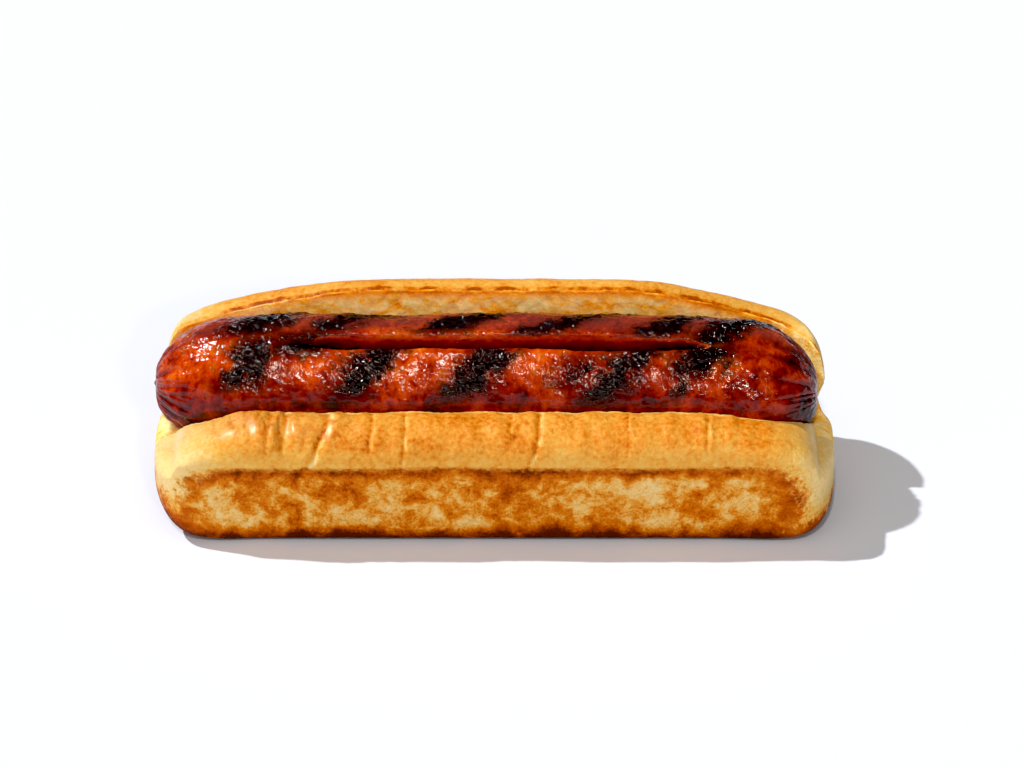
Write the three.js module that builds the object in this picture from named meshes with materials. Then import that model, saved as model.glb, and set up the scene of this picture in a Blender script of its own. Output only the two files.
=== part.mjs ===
// A grilled hot dog: a scored sausage lying in a top-sliced bread roll.
// Millimetres. +X runs along the roll, +Y towards its back, +Z up. The origin is in the
// middle of the footprint, on the surface that the roll stands on.
import * as THREE from "three";

// ---- driving dimensions -------------------------------------------------------------
// An end is [start, reach, power], as roundOff takes it: the measure keeps its full size
// up to start, counted from the middle of the roll, and has gone at start + reach.
const ROLL = {
  halfLength: 78.2,
  halfDepth: 27.2, // from the middle of the slice to the top of a flat side
  sideLean: 1, // the flat sides come in by this much towards the bottom
  baseLift: { left: 10.5, right: 6.5 }, // the bottom curves up to the tip
  baseEnd: [60, 18.2, 2],
  baseEdge: 3.2, // rounding of the bottom edge
  lipOver: 0.9, // the crust hangs over the flat side
  lipRound: 1.9,
  lipEnd: [58, 14, 2],
  rimRound: 0.7,
  tipY: -7,
  tipHeight: 14.5,
};
const SLICE = { floor: 17.8, floorEnd: [73, 5.2, 2], endWidth: 6.5, widthEnd: [72, 6.2, 3] };
// The front half has sunk outwards and the back half stands up.
const FRONT = {
  side: -1,
  rim: { height: 29.3, sag: 0.2 }, // the cut edge lies this much below the highest crust
  left: { rimEnd: [45, 28, 2.2], arch: 0 }, // arch: the share of its height that the rim loses
  right: { rimEnd: [34, 39.5, 2.5], arch: 0 },
  crown: 0.2, // the half is highest at this share of its thickness
  flat: { height: 14.9, end: [55, 18.5, 2.6] },
  plan: [67.5, 10.7, 2.3],
};
const BACK = {
  side: 1,
  rim: { height: 43.2, sag: 0.7 },
  left: { rimEnd: [72.3, 4.9, 2.2], arch: 0.32 },
  right: { rimEnd: [72.3, 4.9, 2.2], arch: 0.39 },
  crown: 0.32,
  flat: { height: 21.5, end: [52, 22, 2.4] },
  plan: [63, 15.2, 2.3],
};
const ARCH = [28, 82]; // the back rim goes down between these distances from the middle
const RIM_TIP = 77.1; // just inside the ends of the back rim
// A valley in each end, from the slice's floor down the back half, and its depth.
const VALLEY = { y: 5.5, z: 19.2, slope: 0.58, width: 3.3, left: 0.8, right: 3.4, start: 72 };
const SAUSAGE = {
  radius: 15.4,
  left: { end: -78.6, cap: 24, droop: 0.6 },
  right: { end: 74.6, cap: 18, droop: 2.8 },
  capPower: 2.12,
  axisHeight: 27.7,
  dimple: 0.5,
  clearance: 0.4, // between sausage and bread, and at the ends of the slice:
  endClearance: 1.3,
};
// A cut along the top, in degrees above level on the front side, that has opened a little.
const SLIT = { angle: 65, halfWidth: 7.8, depth: 4.4, end: [32, 17, 1.6] };
const PUCKER = { folds: 14, depth: 0.45, reach: 13 }; // the skin is gathered towards each tip
// Creases in the front crust: x at the rim, x at the lip, depth and half width.
const CREASES = [
  { rim: -40.5, lip: -43.5, depth: 0.9, width: 1.6 },
  { rim: -20, lip: -21, depth: 0.45, width: 0.9 },
  { rim: 10.5, lip: 7.5, depth: 0.55, width: 1 },
];

// ---- shape helpers ------------------------------------------------------------------
const { abs, sin, cos, exp, sign, PI, min, max, sqrt } = Math;
const QUARTER = PI / 2;
const mix = (a, b, t) => a + (b - a) * t;
const mixPoint = (a, b, t) => [mix(a[0], b[0], t), mix(a[1], b[1], t)];
const many = (count, make) => Array.from({ length: count }, (_, i) => make(i));
const clamp = (v) => min(1, max(0, v));
const smooth = (low, high, v) => {
  const t = clamp((v - low) / (high - low));
  return t * t * (3 - 2 * t);
};

// 1 up to start, then a rounded fall to 0 at start + reach.
function roundOff(x, [start, reach, power]) {
  const t = clamp((abs(x) - start) / reach);
  return (1 - t ** power) ** (1 / power);
}

// A line from a to b, and a rounded corner from a past k to b, both without b itself.
const line = (a, b, count) => many(count, (i) => mixPoint(a, b, i / count));
function corner(a, k, b, count, power = 2) {
  return many(count, (i) => {
    const turn = (i / count) * QUARTER;
    const nearA = cos(turn) ** (2 / power);
    const nearB = sin(turn) ** (2 / power);
    return [0, 1].map((n) => a[n] + b[n] - k[n] + (k[n] - b[n]) * nearA + (k[n] - a[n]) * nearB);
  });
}

// A closed surface through rings of equal length, in order along +X, with a point at each end.
function skin(rings, firstTip, lastTip) {
  const around = rings[0].length;
  const last = (rings.length - 1) * around;
  const tip = last + around;
  const faces = [];
  for (let j = 0; j < around; j += 1) {
    const k = (j + 1) % around;
    for (let row = 0; row < last; row += around) {
      const [a, b, c, d] = [row + j, row + k, row + around + k, row + around + j];
      // Neighbouring squares take opposite diagonals, so no grain runs along the skin.
      if ((j + row / around) % 2) faces.push(a, d, b, b, d, c);
      else faces.push(a, d, c, a, c, b);
    }
    faces.push(tip, j, k, tip + 1, last + k, last + j);
  }
  const places = [...rings.flat(2), ...firstTip, ...lastTip];
  return new THREE.BufferGeometry()
    .setAttribute("position", new THREE.Float32BufferAttribute(places, 3))
    .setIndex(faces);
}

// ---- sausage ------------------------------------------------------------------------
const SAUSAGE_MIDDLE = (SAUSAGE.left.end + SAUSAGE.right.end) / 2;
const SAUSAGE_HALF = SAUSAGE.right.end - SAUSAGE_MIDDLE;

// At x: the height of the axis, the distance to the nearer tip and the smooth radius.
function sausageAt(x) {
  const part = x < SAUSAGE_MIDDLE ? SAUSAGE.left : SAUSAGE.right;
  const inset = max(0, SAUSAGE_HALF - abs(x - SAUSAGE_MIDDLE));
  const axis = SAUSAGE.axisHeight - part.droop * (1 - inset / SAUSAGE_HALF) ** 2.5;
  const fromCap = max(0, part.cap - inset);
  return { axis, inset, radius: SAUSAGE.radius * roundOff(fromCap, [0, part.cap, SAUSAGE.capPower]) };
}

// Angles are counted in degrees from level, facing the front, up and over to the back.
function sausageRing(x, angles) {
  const { axis, inset, radius } = sausageAt(x);
  const gathered = PUCKER.depth * smooth(PUCKER.reach, 1, inset) * clamp(radius / 5);
  const open = roundOff(x, SLIT.end);
  const halfWidth = SLIT.halfWidth * mix(0.35, 1, open);
  return angles.map((angle) => {
    const turn = (angle * PI) / 180;
    const fold = 0.5 - 0.5 * cos(PUCKER.folds * turn + 0.5 * sin(2 * turn));
    const cut = clamp(1.2 * (1 - abs(angle - SLIT.angle) / halfWidth));
    const r = radius - gathered * fold - SLIT.depth * open * cut;
    return [x, -cos(turn) * r, axis + sin(turn) * r];
  });
}

// Distances from a tip, close together where the cap is steepest.
const capInsets = (length, count) => many(count, (i) => length * (1 - cos(((i + 1) / count) * QUARTER)));

function sausage() {
  const { left, right, dimple } = SAUSAGE;
  const { angle, halfWidth } = SLIT;
  const across = [-1, -0.62, -0.25, 0, 0.25, 0.62].map((part) => angle + part * halfWidth);
  const around = line([angle + halfWidth], [angle + 360 - halfWidth], 58).map(([a]) => a);
  const stations = [
    ...capInsets(left.cap, 12).map((inset) => left.end + inset),
    ...line([left.end + left.cap + 6], [right.end - right.cap], 19).map(([x]) => x),
    ...capInsets(right.cap, 11).map((inset) => right.end - inset).reverse(),
  ];
  return skin(
    stations.map((x) => sausageRing(x, [...across, ...around])),
    [left.end + dimple, 0, sausageAt(left.end).axis],
    [right.end - dimple, 0, sausageAt(right.end).axis],
  );
}

// ---- roll ---------------------------------------------------------------------------
// At x: the heights of the bottom and of the slice's floor, the sausage's own measures,
// and how far the section has moved from the middle of the slice to the tip.
function rollAt(x) {
  const lying = sausageAt(x);
  const snug = lying.radius + mix(SAUSAGE.clearance, SAUSAGE.endClearance, smooth(64, 74, abs(x)));
  const open = mix(ROLL.tipHeight, SLICE.floor, roundOff(x, SLICE.floorEnd));
  const lift = x < 0 ? ROLL.baseLift.left : ROLL.baseLift.right;
  return {
    open,
    base: lift * (1 - roundOff(x, ROLL.baseEnd)),
    floor: lying.inset > 0 ? min(open, lying.axis - snug) : open,
    axis: lying.axis,
    snug,
    body: roundOff(x, SLICE.widthEnd),
  };
}

// One half of the section, from the middle of the bottom, up its side, over the crust and
// down the cut face to the slice's floor. Points are [y, z], with y counted outwards.
function halfSection(x, part, { base, floor, open, axis, snug, body }) {
  const tip = part.side * ROLL.tipY;
  const middle = mix(tip, 0, body);
  const { rimEnd, arch } = x < 0 ? part.left : part.right;
  const rim = mix(open, part.rim.height, (1 - arch * smooth(...ARCH, abs(x))) * roundOff(x, rimEnd));
  const outer = mix(tip, ROLL.halfDepth, roundOff(x, part.plan));
  const under = max(0, axis - rim);
  const beside = under < snug ? sqrt(snug ** 2 - under ** 2) : tip;
  const slot = min(mix(tip, SLICE.endWidth, body), mix(middle, outer, 0.7));
  const inner = max(slot, beside);

  const scale = clamp((rim - base) / 20);
  const edge = min(ROLL.baseEdge * clamp((rim - base) / 12), 0.4 * (outer - middle));
  const over = ROLL.lipOver * roundOff(x, ROLL.lipEnd);
  const foot = outer - ROLL.sideLean * roundOff(x, ROLL.lipEnd);
  const lip = base + edge + mix(0.3, part.flat.height, roundOff(x, part.flat.end)) * scale;
  const round = min(ROLL.rimRound, 0.15 * (outer - inner));
  const side = outer - 0.2 * over;
  const bulge = [outer + over, lip + ROLL.lipRound * scale];
  const crown = [mix(inner, bulge[0], part.crown), rim];
  const shoulder = [inner + round, rim - part.rim.sag * smooth(0, 12, rim - floor)];
  const knee = min(shoulder[1] - round * clamp(rim - floor), max(floor, axis));
  return [
    ...line([middle, base], [foot - edge, base], 3),
    ...corner([foot - edge, base], [foot, base], [foot, base + edge], 3),
    ...line([foot, base + edge], [side, lip], 4),
    ...corner([side, lip], [side, lip + 0.5 * (bulge[1] - lip)], bulge, 3),
    ...corner(bulge, [bulge[0], rim], crown, 8, 2.15),
    ...line(crown, shoulder, 2),
    ...line(shoulder, [inner, knee], 4),
    ...corner([inner, knee], [inner, floor], [middle, floor], 8),
  ];
}

// How far the crust of the front half is drawn in by its creases.
function creaseDepth(x, height) {
  const low = ROLL.baseEdge + FRONT.flat.height;
  const rise = clamp((height - low) / (FRONT.rim.height - low));
  return CREASES.reduce((sum, { rim, lip, depth, width }) => {
    const away = (x - mix(lip, rim, rise)) / width;
    return sum + depth * exp(-away * away);
  }, 0);
}

// Slow swells of the baked surface.
const swell = (x, y, z) =>
  0.26 * sin(x / 9.5 + 0.12 * z) * cos(y / 8 + 1) + 0.2 * sin(x / 4.7 + y / 6 + 2.2) * cos(z / 7);

// Moves a point of the roll's smooth form onto its real surface.
function baked([x, y, z], { base, body }) {
  const outside = smooth(0.62, 0.95, abs(y) / ROLL.halfDepth) * smooth(0.5, 6, z - base) * body;
  const crust = y < 0 ? smooth(0, 2.5, z - ROLL.baseEdge - FRONT.flat.height) * smooth(15.9, 17.5, -y) : 0;
  const drawn = creaseDepth(x, z) * crust * body;
  const out = swell(x, y, z) * outside;
  const above = z - VALLEY.z + VALLEY.slope * (y - VALLEY.y);
  const valley = exp(-((above / VALLEY.width) ** 2)) * smooth(-1, 0.5 * VALLEY.y, y);
  const deepest = x < 0 ? VALLEY.left : VALLEY.right;
  const inward = deepest * valley * smooth(VALLEY.start, ROLL.halfLength, abs(x));
  return [x - sign(x) * inward, y + sign(y) * out + 0.75 * drawn, z - 0.6 * drawn];
}

function rollRing(x) {
  const measures = rollAt(x);
  const front = halfSection(x, FRONT, measures).map(([y, z]) => [-y, z]);
  const back = halfSection(x, BACK, measures);
  const floor = [mix(ROLL.tipY, 0, measures.body), measures.floor];
  const section = [...front, floor, ...back.slice(1).reverse()];
  return section.map(([y, z]) => baked([x, y, z], measures));
}

function roll() {
  const even = 62; // sections are evenly spaced up to here, and closer towards the tips
  const ends = many(12, (i) => mix(even, ROLL.halfLength, sin(((i + 1) / 12) * 0.98 * QUARTER)));
  ends.push(RIM_TIP);
  const middle = line([-even], [even], 22).map(([x]) => x);
  for (const { rim, lip, width } of CREASES) {
    const beside = 1.1 * (width + abs(rim - lip) / 4);
    middle.push(...[-beside, 0, beside].map((away) => mix(rim, lip, 0.5) + away));
  }
  const stations = [...ends.map((x) => -x), ...middle, even, ...ends].sort((a, b) => a - b);
  const tip = (side, lift) => [side * ROLL.halfLength, ROLL.tipY, mix(lift, ROLL.tipHeight, 0.5)];
  return skin(stations.map(rollRing), tip(-1, ROLL.baseLift.left), tip(1, ROLL.baseLift.right));
}

// ---- assembly -----------------------------------------------------------------------
function piece(name, geometry, color, roughness) {
  const mesh = new THREE.Mesh(geometry, new THREE.MeshStandardMaterial({ color, roughness, metalness: 0 }));
  mesh.name = name;
  return mesh;
}

const hotDog = new THREE.Group();
hotDog.add(piece("roll", roll(), 0xe39a3c, 0.6), piece("sausage", sausage(), 0x8c2a14, 0.3));

// Centre the footprint on the origin.
const bounds = new THREE.Box3().setFromObject(hotDog);
const centre = bounds.getCenter(new THREE.Vector3());
for (const { geometry } of hotDog.children) geometry.translate(-centre.x, -centre.y, -bounds.min.z);

export default hotDog;
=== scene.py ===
"""A grilled hot dog, dressed for its looks: a top-sliced roll and a scored sausage.

Each of the frame's two solids is replaced by a finer piece of the same form. Shapes are
worked out in millimetres, and a finished mesh is in metres. +X runs along the roll, +Y
towards its back and +Z up.
"""

import logging
import math
from dataclasses import dataclass
from enum import Enum
from typing import Sequence, Union

import bmesh
import bpy
import numpy as np
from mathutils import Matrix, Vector


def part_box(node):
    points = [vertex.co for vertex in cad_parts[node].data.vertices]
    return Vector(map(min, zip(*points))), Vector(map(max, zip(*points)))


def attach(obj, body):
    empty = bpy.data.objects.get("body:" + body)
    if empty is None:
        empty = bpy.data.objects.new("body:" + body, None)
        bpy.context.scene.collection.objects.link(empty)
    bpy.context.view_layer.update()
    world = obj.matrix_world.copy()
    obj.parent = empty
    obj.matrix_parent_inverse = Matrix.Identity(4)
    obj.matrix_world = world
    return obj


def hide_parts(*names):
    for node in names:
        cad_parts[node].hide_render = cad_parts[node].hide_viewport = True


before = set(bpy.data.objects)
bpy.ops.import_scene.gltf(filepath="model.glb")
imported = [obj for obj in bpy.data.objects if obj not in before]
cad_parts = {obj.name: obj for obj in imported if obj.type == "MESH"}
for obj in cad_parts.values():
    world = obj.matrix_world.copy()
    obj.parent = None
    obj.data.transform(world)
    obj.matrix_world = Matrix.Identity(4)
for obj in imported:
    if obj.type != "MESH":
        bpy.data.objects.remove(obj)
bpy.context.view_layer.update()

MM = 0.001
BODY = "root"
log = logging.getLogger("hot_dog")

Measure = Union[float, np.ndarray]
Span = tuple[float, float]
Triple = tuple[float, float, float]
Ramp = tuple[tuple[float, str], ...]  # places from 0 to 1, each with a colour as six hex digits
EVEN: Triple = (1.0, 1.0, 1.0)  # a pattern that isn't drawn out


# ---- arithmetic that the shapes share ------------------------------------------------


def mix(first: Measure, second: Measure, share: Measure) -> Measure:
    """Returns what lies between first and second, at share of the way."""
    return first + (second - first) * share


def smooth(low: float, high: float, value: Measure) -> Measure:
    """Returns 0 up to low and 1 from high on, eased between; low may be the larger."""
    t = np.clip((value - low) / (high - low), 0.0, 1.0)
    return t * t * (3.0 - 2.0 * t)


def bell(away: Measure) -> Measure:
    """Returns 1 where away is 0, and less on both sides."""
    return np.exp(-(away**2))


def pairs(*parts: np.ndarray) -> np.ndarray:
    """Returns the parts stacked as coordinates along a last axis."""
    return np.stack(np.broadcast_arrays(*parts), axis=-1)


@dataclass(frozen=True)
class Fade:
    """How a measure dies away towards the tips, in a rounded fall.

    It is full up to start, counted from the middle, and gone at start + reach.
    """

    start: float
    reach: float
    power: float = 2.0

    def at(self, x: np.ndarray) -> np.ndarray:
        """Returns the share that is left at x."""
        t = np.clip((np.abs(x) - self.start) / self.reach, 0.0, 1.0)
        return (1.0 - t**self.power) ** (1.0 / self.power)


@dataclass(frozen=True)
class Grain:
    """A smooth random field of one grain size, a sum of seeded plane waves."""

    seed: int
    size: float  # the waves' mean length
    height: float = 1.0
    stretch: Triple = EVEN  # how much longer it is along X, Y and Z
    limits: Span = (-math.inf, math.inf)  # it is cut off at these shares of its height
    waves: int = 36
    lengths: Span = (0.7, 1.5)  # the shortest and the longest wave, as shares of the size

    def at(self, places: np.ndarray) -> np.ndarray:
        """Works out the field.

        Args:
            places: Points, with their coordinates along the last axis.

        Returns:
            The field at each: about 0, and mostly within twice its height.
        """
        draw = np.random.default_rng(self.seed)
        ways = draw.normal(size=(self.waves, 3))
        ways /= np.linalg.norm(ways, axis=1)[:, None]
        lengths = self.size * draw.uniform(*self.lengths, self.waves)
        ways = ways * (2.0 * math.pi / lengths)[:, None] / np.array(self.stretch)
        phases = draw.uniform(0.0, 2.0 * math.pi, self.waves)
        total = np.zeros(places.shape[:-1])
        for way, phase in zip(ways, phases):
            total += np.cos(places @ way + phase)
        return np.clip(total * math.sqrt(2.0 / self.waves), *self.limits) * self.height


def layered(grains: Sequence[Grain], places: np.ndarray) -> np.ndarray:
    """Returns the sum of several fields at places."""
    return sum(grain.at(places) for grain in grains)


class Mixture:
    """An even level with patterns added to it, each by its own weight."""

    def __init__(self, even: float, **weights: float) -> None:
        """Holds the even level, and the weights by the patterns' names."""
        self.even = even
        self.weights = weights

    def of(self, patterns: dict[str, "Pattern"]) -> "Pattern":
        """Returns what the patterns, given by their names, add up to."""
        return sum((patterns[name] * weight for name, weight in self.weights.items()), self.even)


class Chain:
    """Points along one half section, worked out for every station at once."""

    def __init__(self) -> None:
        """Starts an empty chain."""
        self.parts: list[np.ndarray] = []
        self.marks: dict[str, int] = {}

    def mark(self, name: str) -> None:
        """Remembers the next point's number under name."""
        self.marks[name] = sum(part.shape[1] for part in self.parts)

    def line(self, start: np.ndarray, end: np.ndarray, count: int) -> None:
        """Adds count points from start towards end, without end itself."""
        share = (np.arange(count) / count)[None, :, None]
        self.parts.append(mix(start[:, None, :], end[:, None, :], share))

    def corner(
        self, ends: Sequence[np.ndarray], knee: np.ndarray, count: int, power: float = 2.0
    ) -> None:
        """Adds a rounded corner, without its last point.

        Args:
            ends: The points that it starts from and those that it runs up to.
            knee: The points that it bends towards.
            count: How many points it has at each station.
            power: 2 for an elliptic corner, and more for a squarer one.
        """
        turn = (np.arange(count) / count * math.pi / 2)[None, :, None]
        near_start = np.cos(turn) ** (2.0 / power)
        near_end = np.sin(turn) ** (2.0 / power)
        a, k, b = (points[:, None, :] for points in (ends[0], knee, ends[1]))
        self.parts.append(a + b - k + (k - b) * near_start + (k - a) * near_end)

    def points(self) -> np.ndarray:
        """Returns all points: stations, then places along the chain, then y and z."""
        return np.concatenate(self.parts, axis=1)


# ---- meshes --------------------------------------------------------------------------


class Tube:
    """A closed tube of rings along X, modelled from a cylinder whose loops are placed."""

    plain: float = 1.0  # the plain cylinder's radius and half length
    softness: float = 0.5  # how far one smoothing moves a point towards its neighbours

    def __init__(self, name: str, rings: np.ndarray, tips: np.ndarray) -> None:
        """Makes the mesh.

        Args:
            name: The object's name.
            rings: Points in millimetres: stations along X, places around, coordinates.
            tips: The two end points.
        """
        self.stations, self.around = rings.shape[:2]
        bpy.ops.object.select_all(action="DESELECT")
        bpy.ops.mesh.primitive_cylinder_add(
            vertices=self.around,
            radius=self.plain,
            depth=2.0 * self.plain,
            end_fill_type="TRIFAN",
            rotation=(0.0, math.pi / 2, 0.0),
        )
        self.thing = bpy.context.object
        self.thing.name = name
        self.thing.data.name = name
        bpy.ops.object.transform_apply(rotation=True)
        self._cut_loops()
        places = self.read("co", 3)
        self._number(places)
        ringed = ~self.is_tip
        places[ringed] = rings[self.row[ringed], self.column[ringed]]
        places[self.is_tip] = tips[(self.row[self.is_tip] > 0).astype(int)]
        self.write(places)

    def _cut_loops(self) -> None:
        """Cuts the cylinder's long edges into evenly spaced loops."""
        bpy.ops.object.mode_set(mode="EDIT")
        bpy.ops.mesh.select_mode(type="EDGE")
        bpy.ops.mesh.select_all(action="DESELECT")
        shape = bmesh.from_edit_mesh(self.thing.data)
        for edge in shape.edges:
            edge.select = abs(edge.verts[0].co.x - edge.verts[1].co.x) > self.plain
        bmesh.update_edit_mesh(self.thing.data)
        cuts = self.stations - 2
        bpy.ops.mesh.subdivide_edgering(number_cuts=cuts, interpolation="LINEAR", smoothness=0.0)
        bpy.ops.object.mode_set(mode="OBJECT")

    def _number(self, places: np.ndarray) -> None:
        """Finds each vertex's station and its place around.

        Args:
            places: The vertices of the plain cylinder.
        """
        step = 2.0 * math.pi / self.around
        turn = np.arctan2(places[:, 2], places[:, 1])
        along = (places[:, 0] + self.plain) / (2.0 * self.plain)
        self.is_tip = np.hypot(places[:, 1], places[:, 2]) < 0.5 * self.plain
        self.column = np.rint(-turn / step).astype(int) % self.around
        self.row = np.rint(along * (self.stations - 1)).astype(int)

    def read(self, kind: str, width: int) -> np.ndarray:
        """Reads a property of the vertices.

        Args:
            kind: Blender's name for it.
            width: How many numbers each vertex has.

        Returns:
            A row of numbers for each vertex.
        """
        values = np.empty(len(self.thing.data.vertices) * width)
        self.thing.data.vertices.foreach_get(kind, values)
        return values.reshape(-1, width)

    def write(self, places: np.ndarray) -> None:
        """Moves the vertices to places."""
        self.thing.data.vertices.foreach_set("co", places.ravel())
        self.thing.data.update()

    def soften(self, times: int) -> None:
        """Rounds off the sharp corners with a Smooth modifier.

        Args:
            times: How often it smooths.
        """
        modifier = self.thing.modifiers.new("soften", "SMOOTH")
        modifier.iterations = times
        modifier.factor = self.softness
        bpy.ops.object.modifier_apply(modifier=modifier.name)

    def push(self, height: np.ndarray) -> None:
        """Moves every vertex along its normal by its height in millimetres."""
        self.write(self.read("co", 3) + self.read("normal", 3) * height[:, None])

    def spread(self, values: np.ndarray) -> np.ndarray:
        """Returns a grid of values, stations by places around, in vertex order."""
        grid = np.broadcast_to(values, (self.stations, self.around))
        return grid[self.row, self.column]

    def paint(self, name: str, values: np.ndarray) -> None:
        """Keeps a number for each vertex under name, for the material to read."""
        kept = self.thing.data.attributes.new(name, "FLOAT", "POINT")
        kept.data.foreach_set("value", values.astype(np.float32))

    def finish(self, material: bpy.types.Material) -> bpy.types.Object:
        """Turns the mesh into metres, smooths its shading and gives it its material.

        Args:
            material: Its finish.

        Returns:
            The finished object.
        """
        bpy.ops.object.select_all(action="DESELECT")
        self.thing.select_set(True)
        bpy.context.view_layer.objects.active = self.thing
        self.thing.scale = (MM, MM, MM)
        bpy.ops.object.transform_apply(scale=True)
        bpy.ops.object.shade_smooth()
        self.thing.data.materials.append(material)
        return self.thing


# ---- how a finish is mixed -----------------------------------------------------------


def linear(code: str) -> tuple[float, float, float, float]:
    """Turns a colour into Blender's linear numbers, by the sRGB formula.

    Args:
        code: Six hex digits.

    Returns:
        Red, green, blue and a full alpha.
    """
    parts = [int(code[i : i + 2], 16) / 255.0 for i in (0, 2, 4)]
    red, green, blue = (p / 12.92 if p <= 0.04045 else ((p + 0.055) / 1.055) ** 2.4 for p in parts)
    return red, green, blue, 1.0


class Value:
    """A number that a material's nodes work out, with the usual arithmetic."""

    def __init__(self, recipe: "Recipe", socket: bpy.types.NodeSocket) -> None:
        """Holds the socket that gives the number."""
        self.recipe = recipe
        self.socket = socket

    def _with(self, operation: str, *parts: "Number") -> "Value":
        """Adds a Math node.

        Args:
            operation: Blender's name for what it does.
            parts: What it works on.

        Returns:
            Its outcome.
        """
        node = self.recipe.add("ShaderNodeMath", operation=operation)
        for place, part in zip(node.inputs, parts):
            self.recipe.feed(place, part)
        return Value(self.recipe, node.outputs[0])

    def __add__(self, other: "Number") -> "Value":
        """Returns the sum."""
        return self._with("ADD", self, other)

    def __sub__(self, other: "Number") -> "Value":
        """Returns the difference."""
        return self._with("SUBTRACT", self, other)

    def __rsub__(self, other: "Number") -> "Value":
        """Returns the difference from other."""
        return self._with("SUBTRACT", other, self)

    def __mul__(self, other: "Number") -> "Value":
        """Returns the product."""
        return self._with("MULTIPLY", self, other)

    __radd__ = __add__
    __rmul__ = __mul__

    def size(self) -> "Value":
        """Returns the number without its sign."""
        return self._with("ABSOLUTE", self)

    def most(self, other: "Number") -> "Value":
        """Returns the larger of the two."""
        return self._with("MAXIMUM", self, other)

    def rise(self, low: float, high: float) -> "Value":
        """Eases the number into a share.

        Args:
            low: Up to here it is 0.
            high: From here on it is 1. It may be the smaller of the two.

        Returns:
            The share.
        """
        node = self.recipe.add("ShaderNodeMapRange", interpolation_type="SMOOTHSTEP")
        self.recipe.feed(node.inputs["Value"], self)
        falling = low > high
        node.inputs["From Min"].default_value = min(low, high)
        node.inputs["From Max"].default_value = max(low, high)
        node.inputs["To Min"].default_value = float(falling)
        node.inputs["To Max"].default_value = float(not falling)
        return Value(self.recipe, node.outputs["Result"])


Number = Union[Value, float]
Pattern = Union[Value, np.ndarray]
Paint = Union[bpy.types.NodeSocket, str]  # a colour worked out by nodes, or six hex digits


@dataclass(frozen=True)
class Clouds:
    """A cloudy pattern from about -1 to 1."""

    size: float  # of its largest clouds, in millimetres
    detail: float = 2.0  # how many finer layers it has
    roughness: float = 0.5  # how strong those are
    stretch: Triple = EVEN  # how much longer the clouds are along X, Y and Z
    bend: float = 0.0  # how much it is distorted


@dataclass(frozen=True)
class Band:
    """A change that eases in between two values and is full from the second one on."""

    start: float
    full: float
    strength: float = 1.0

    def of(self, value: Value) -> Value:
        """Returns the change at value."""
        return value.rise(self.start, self.full) * self.strength


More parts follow.
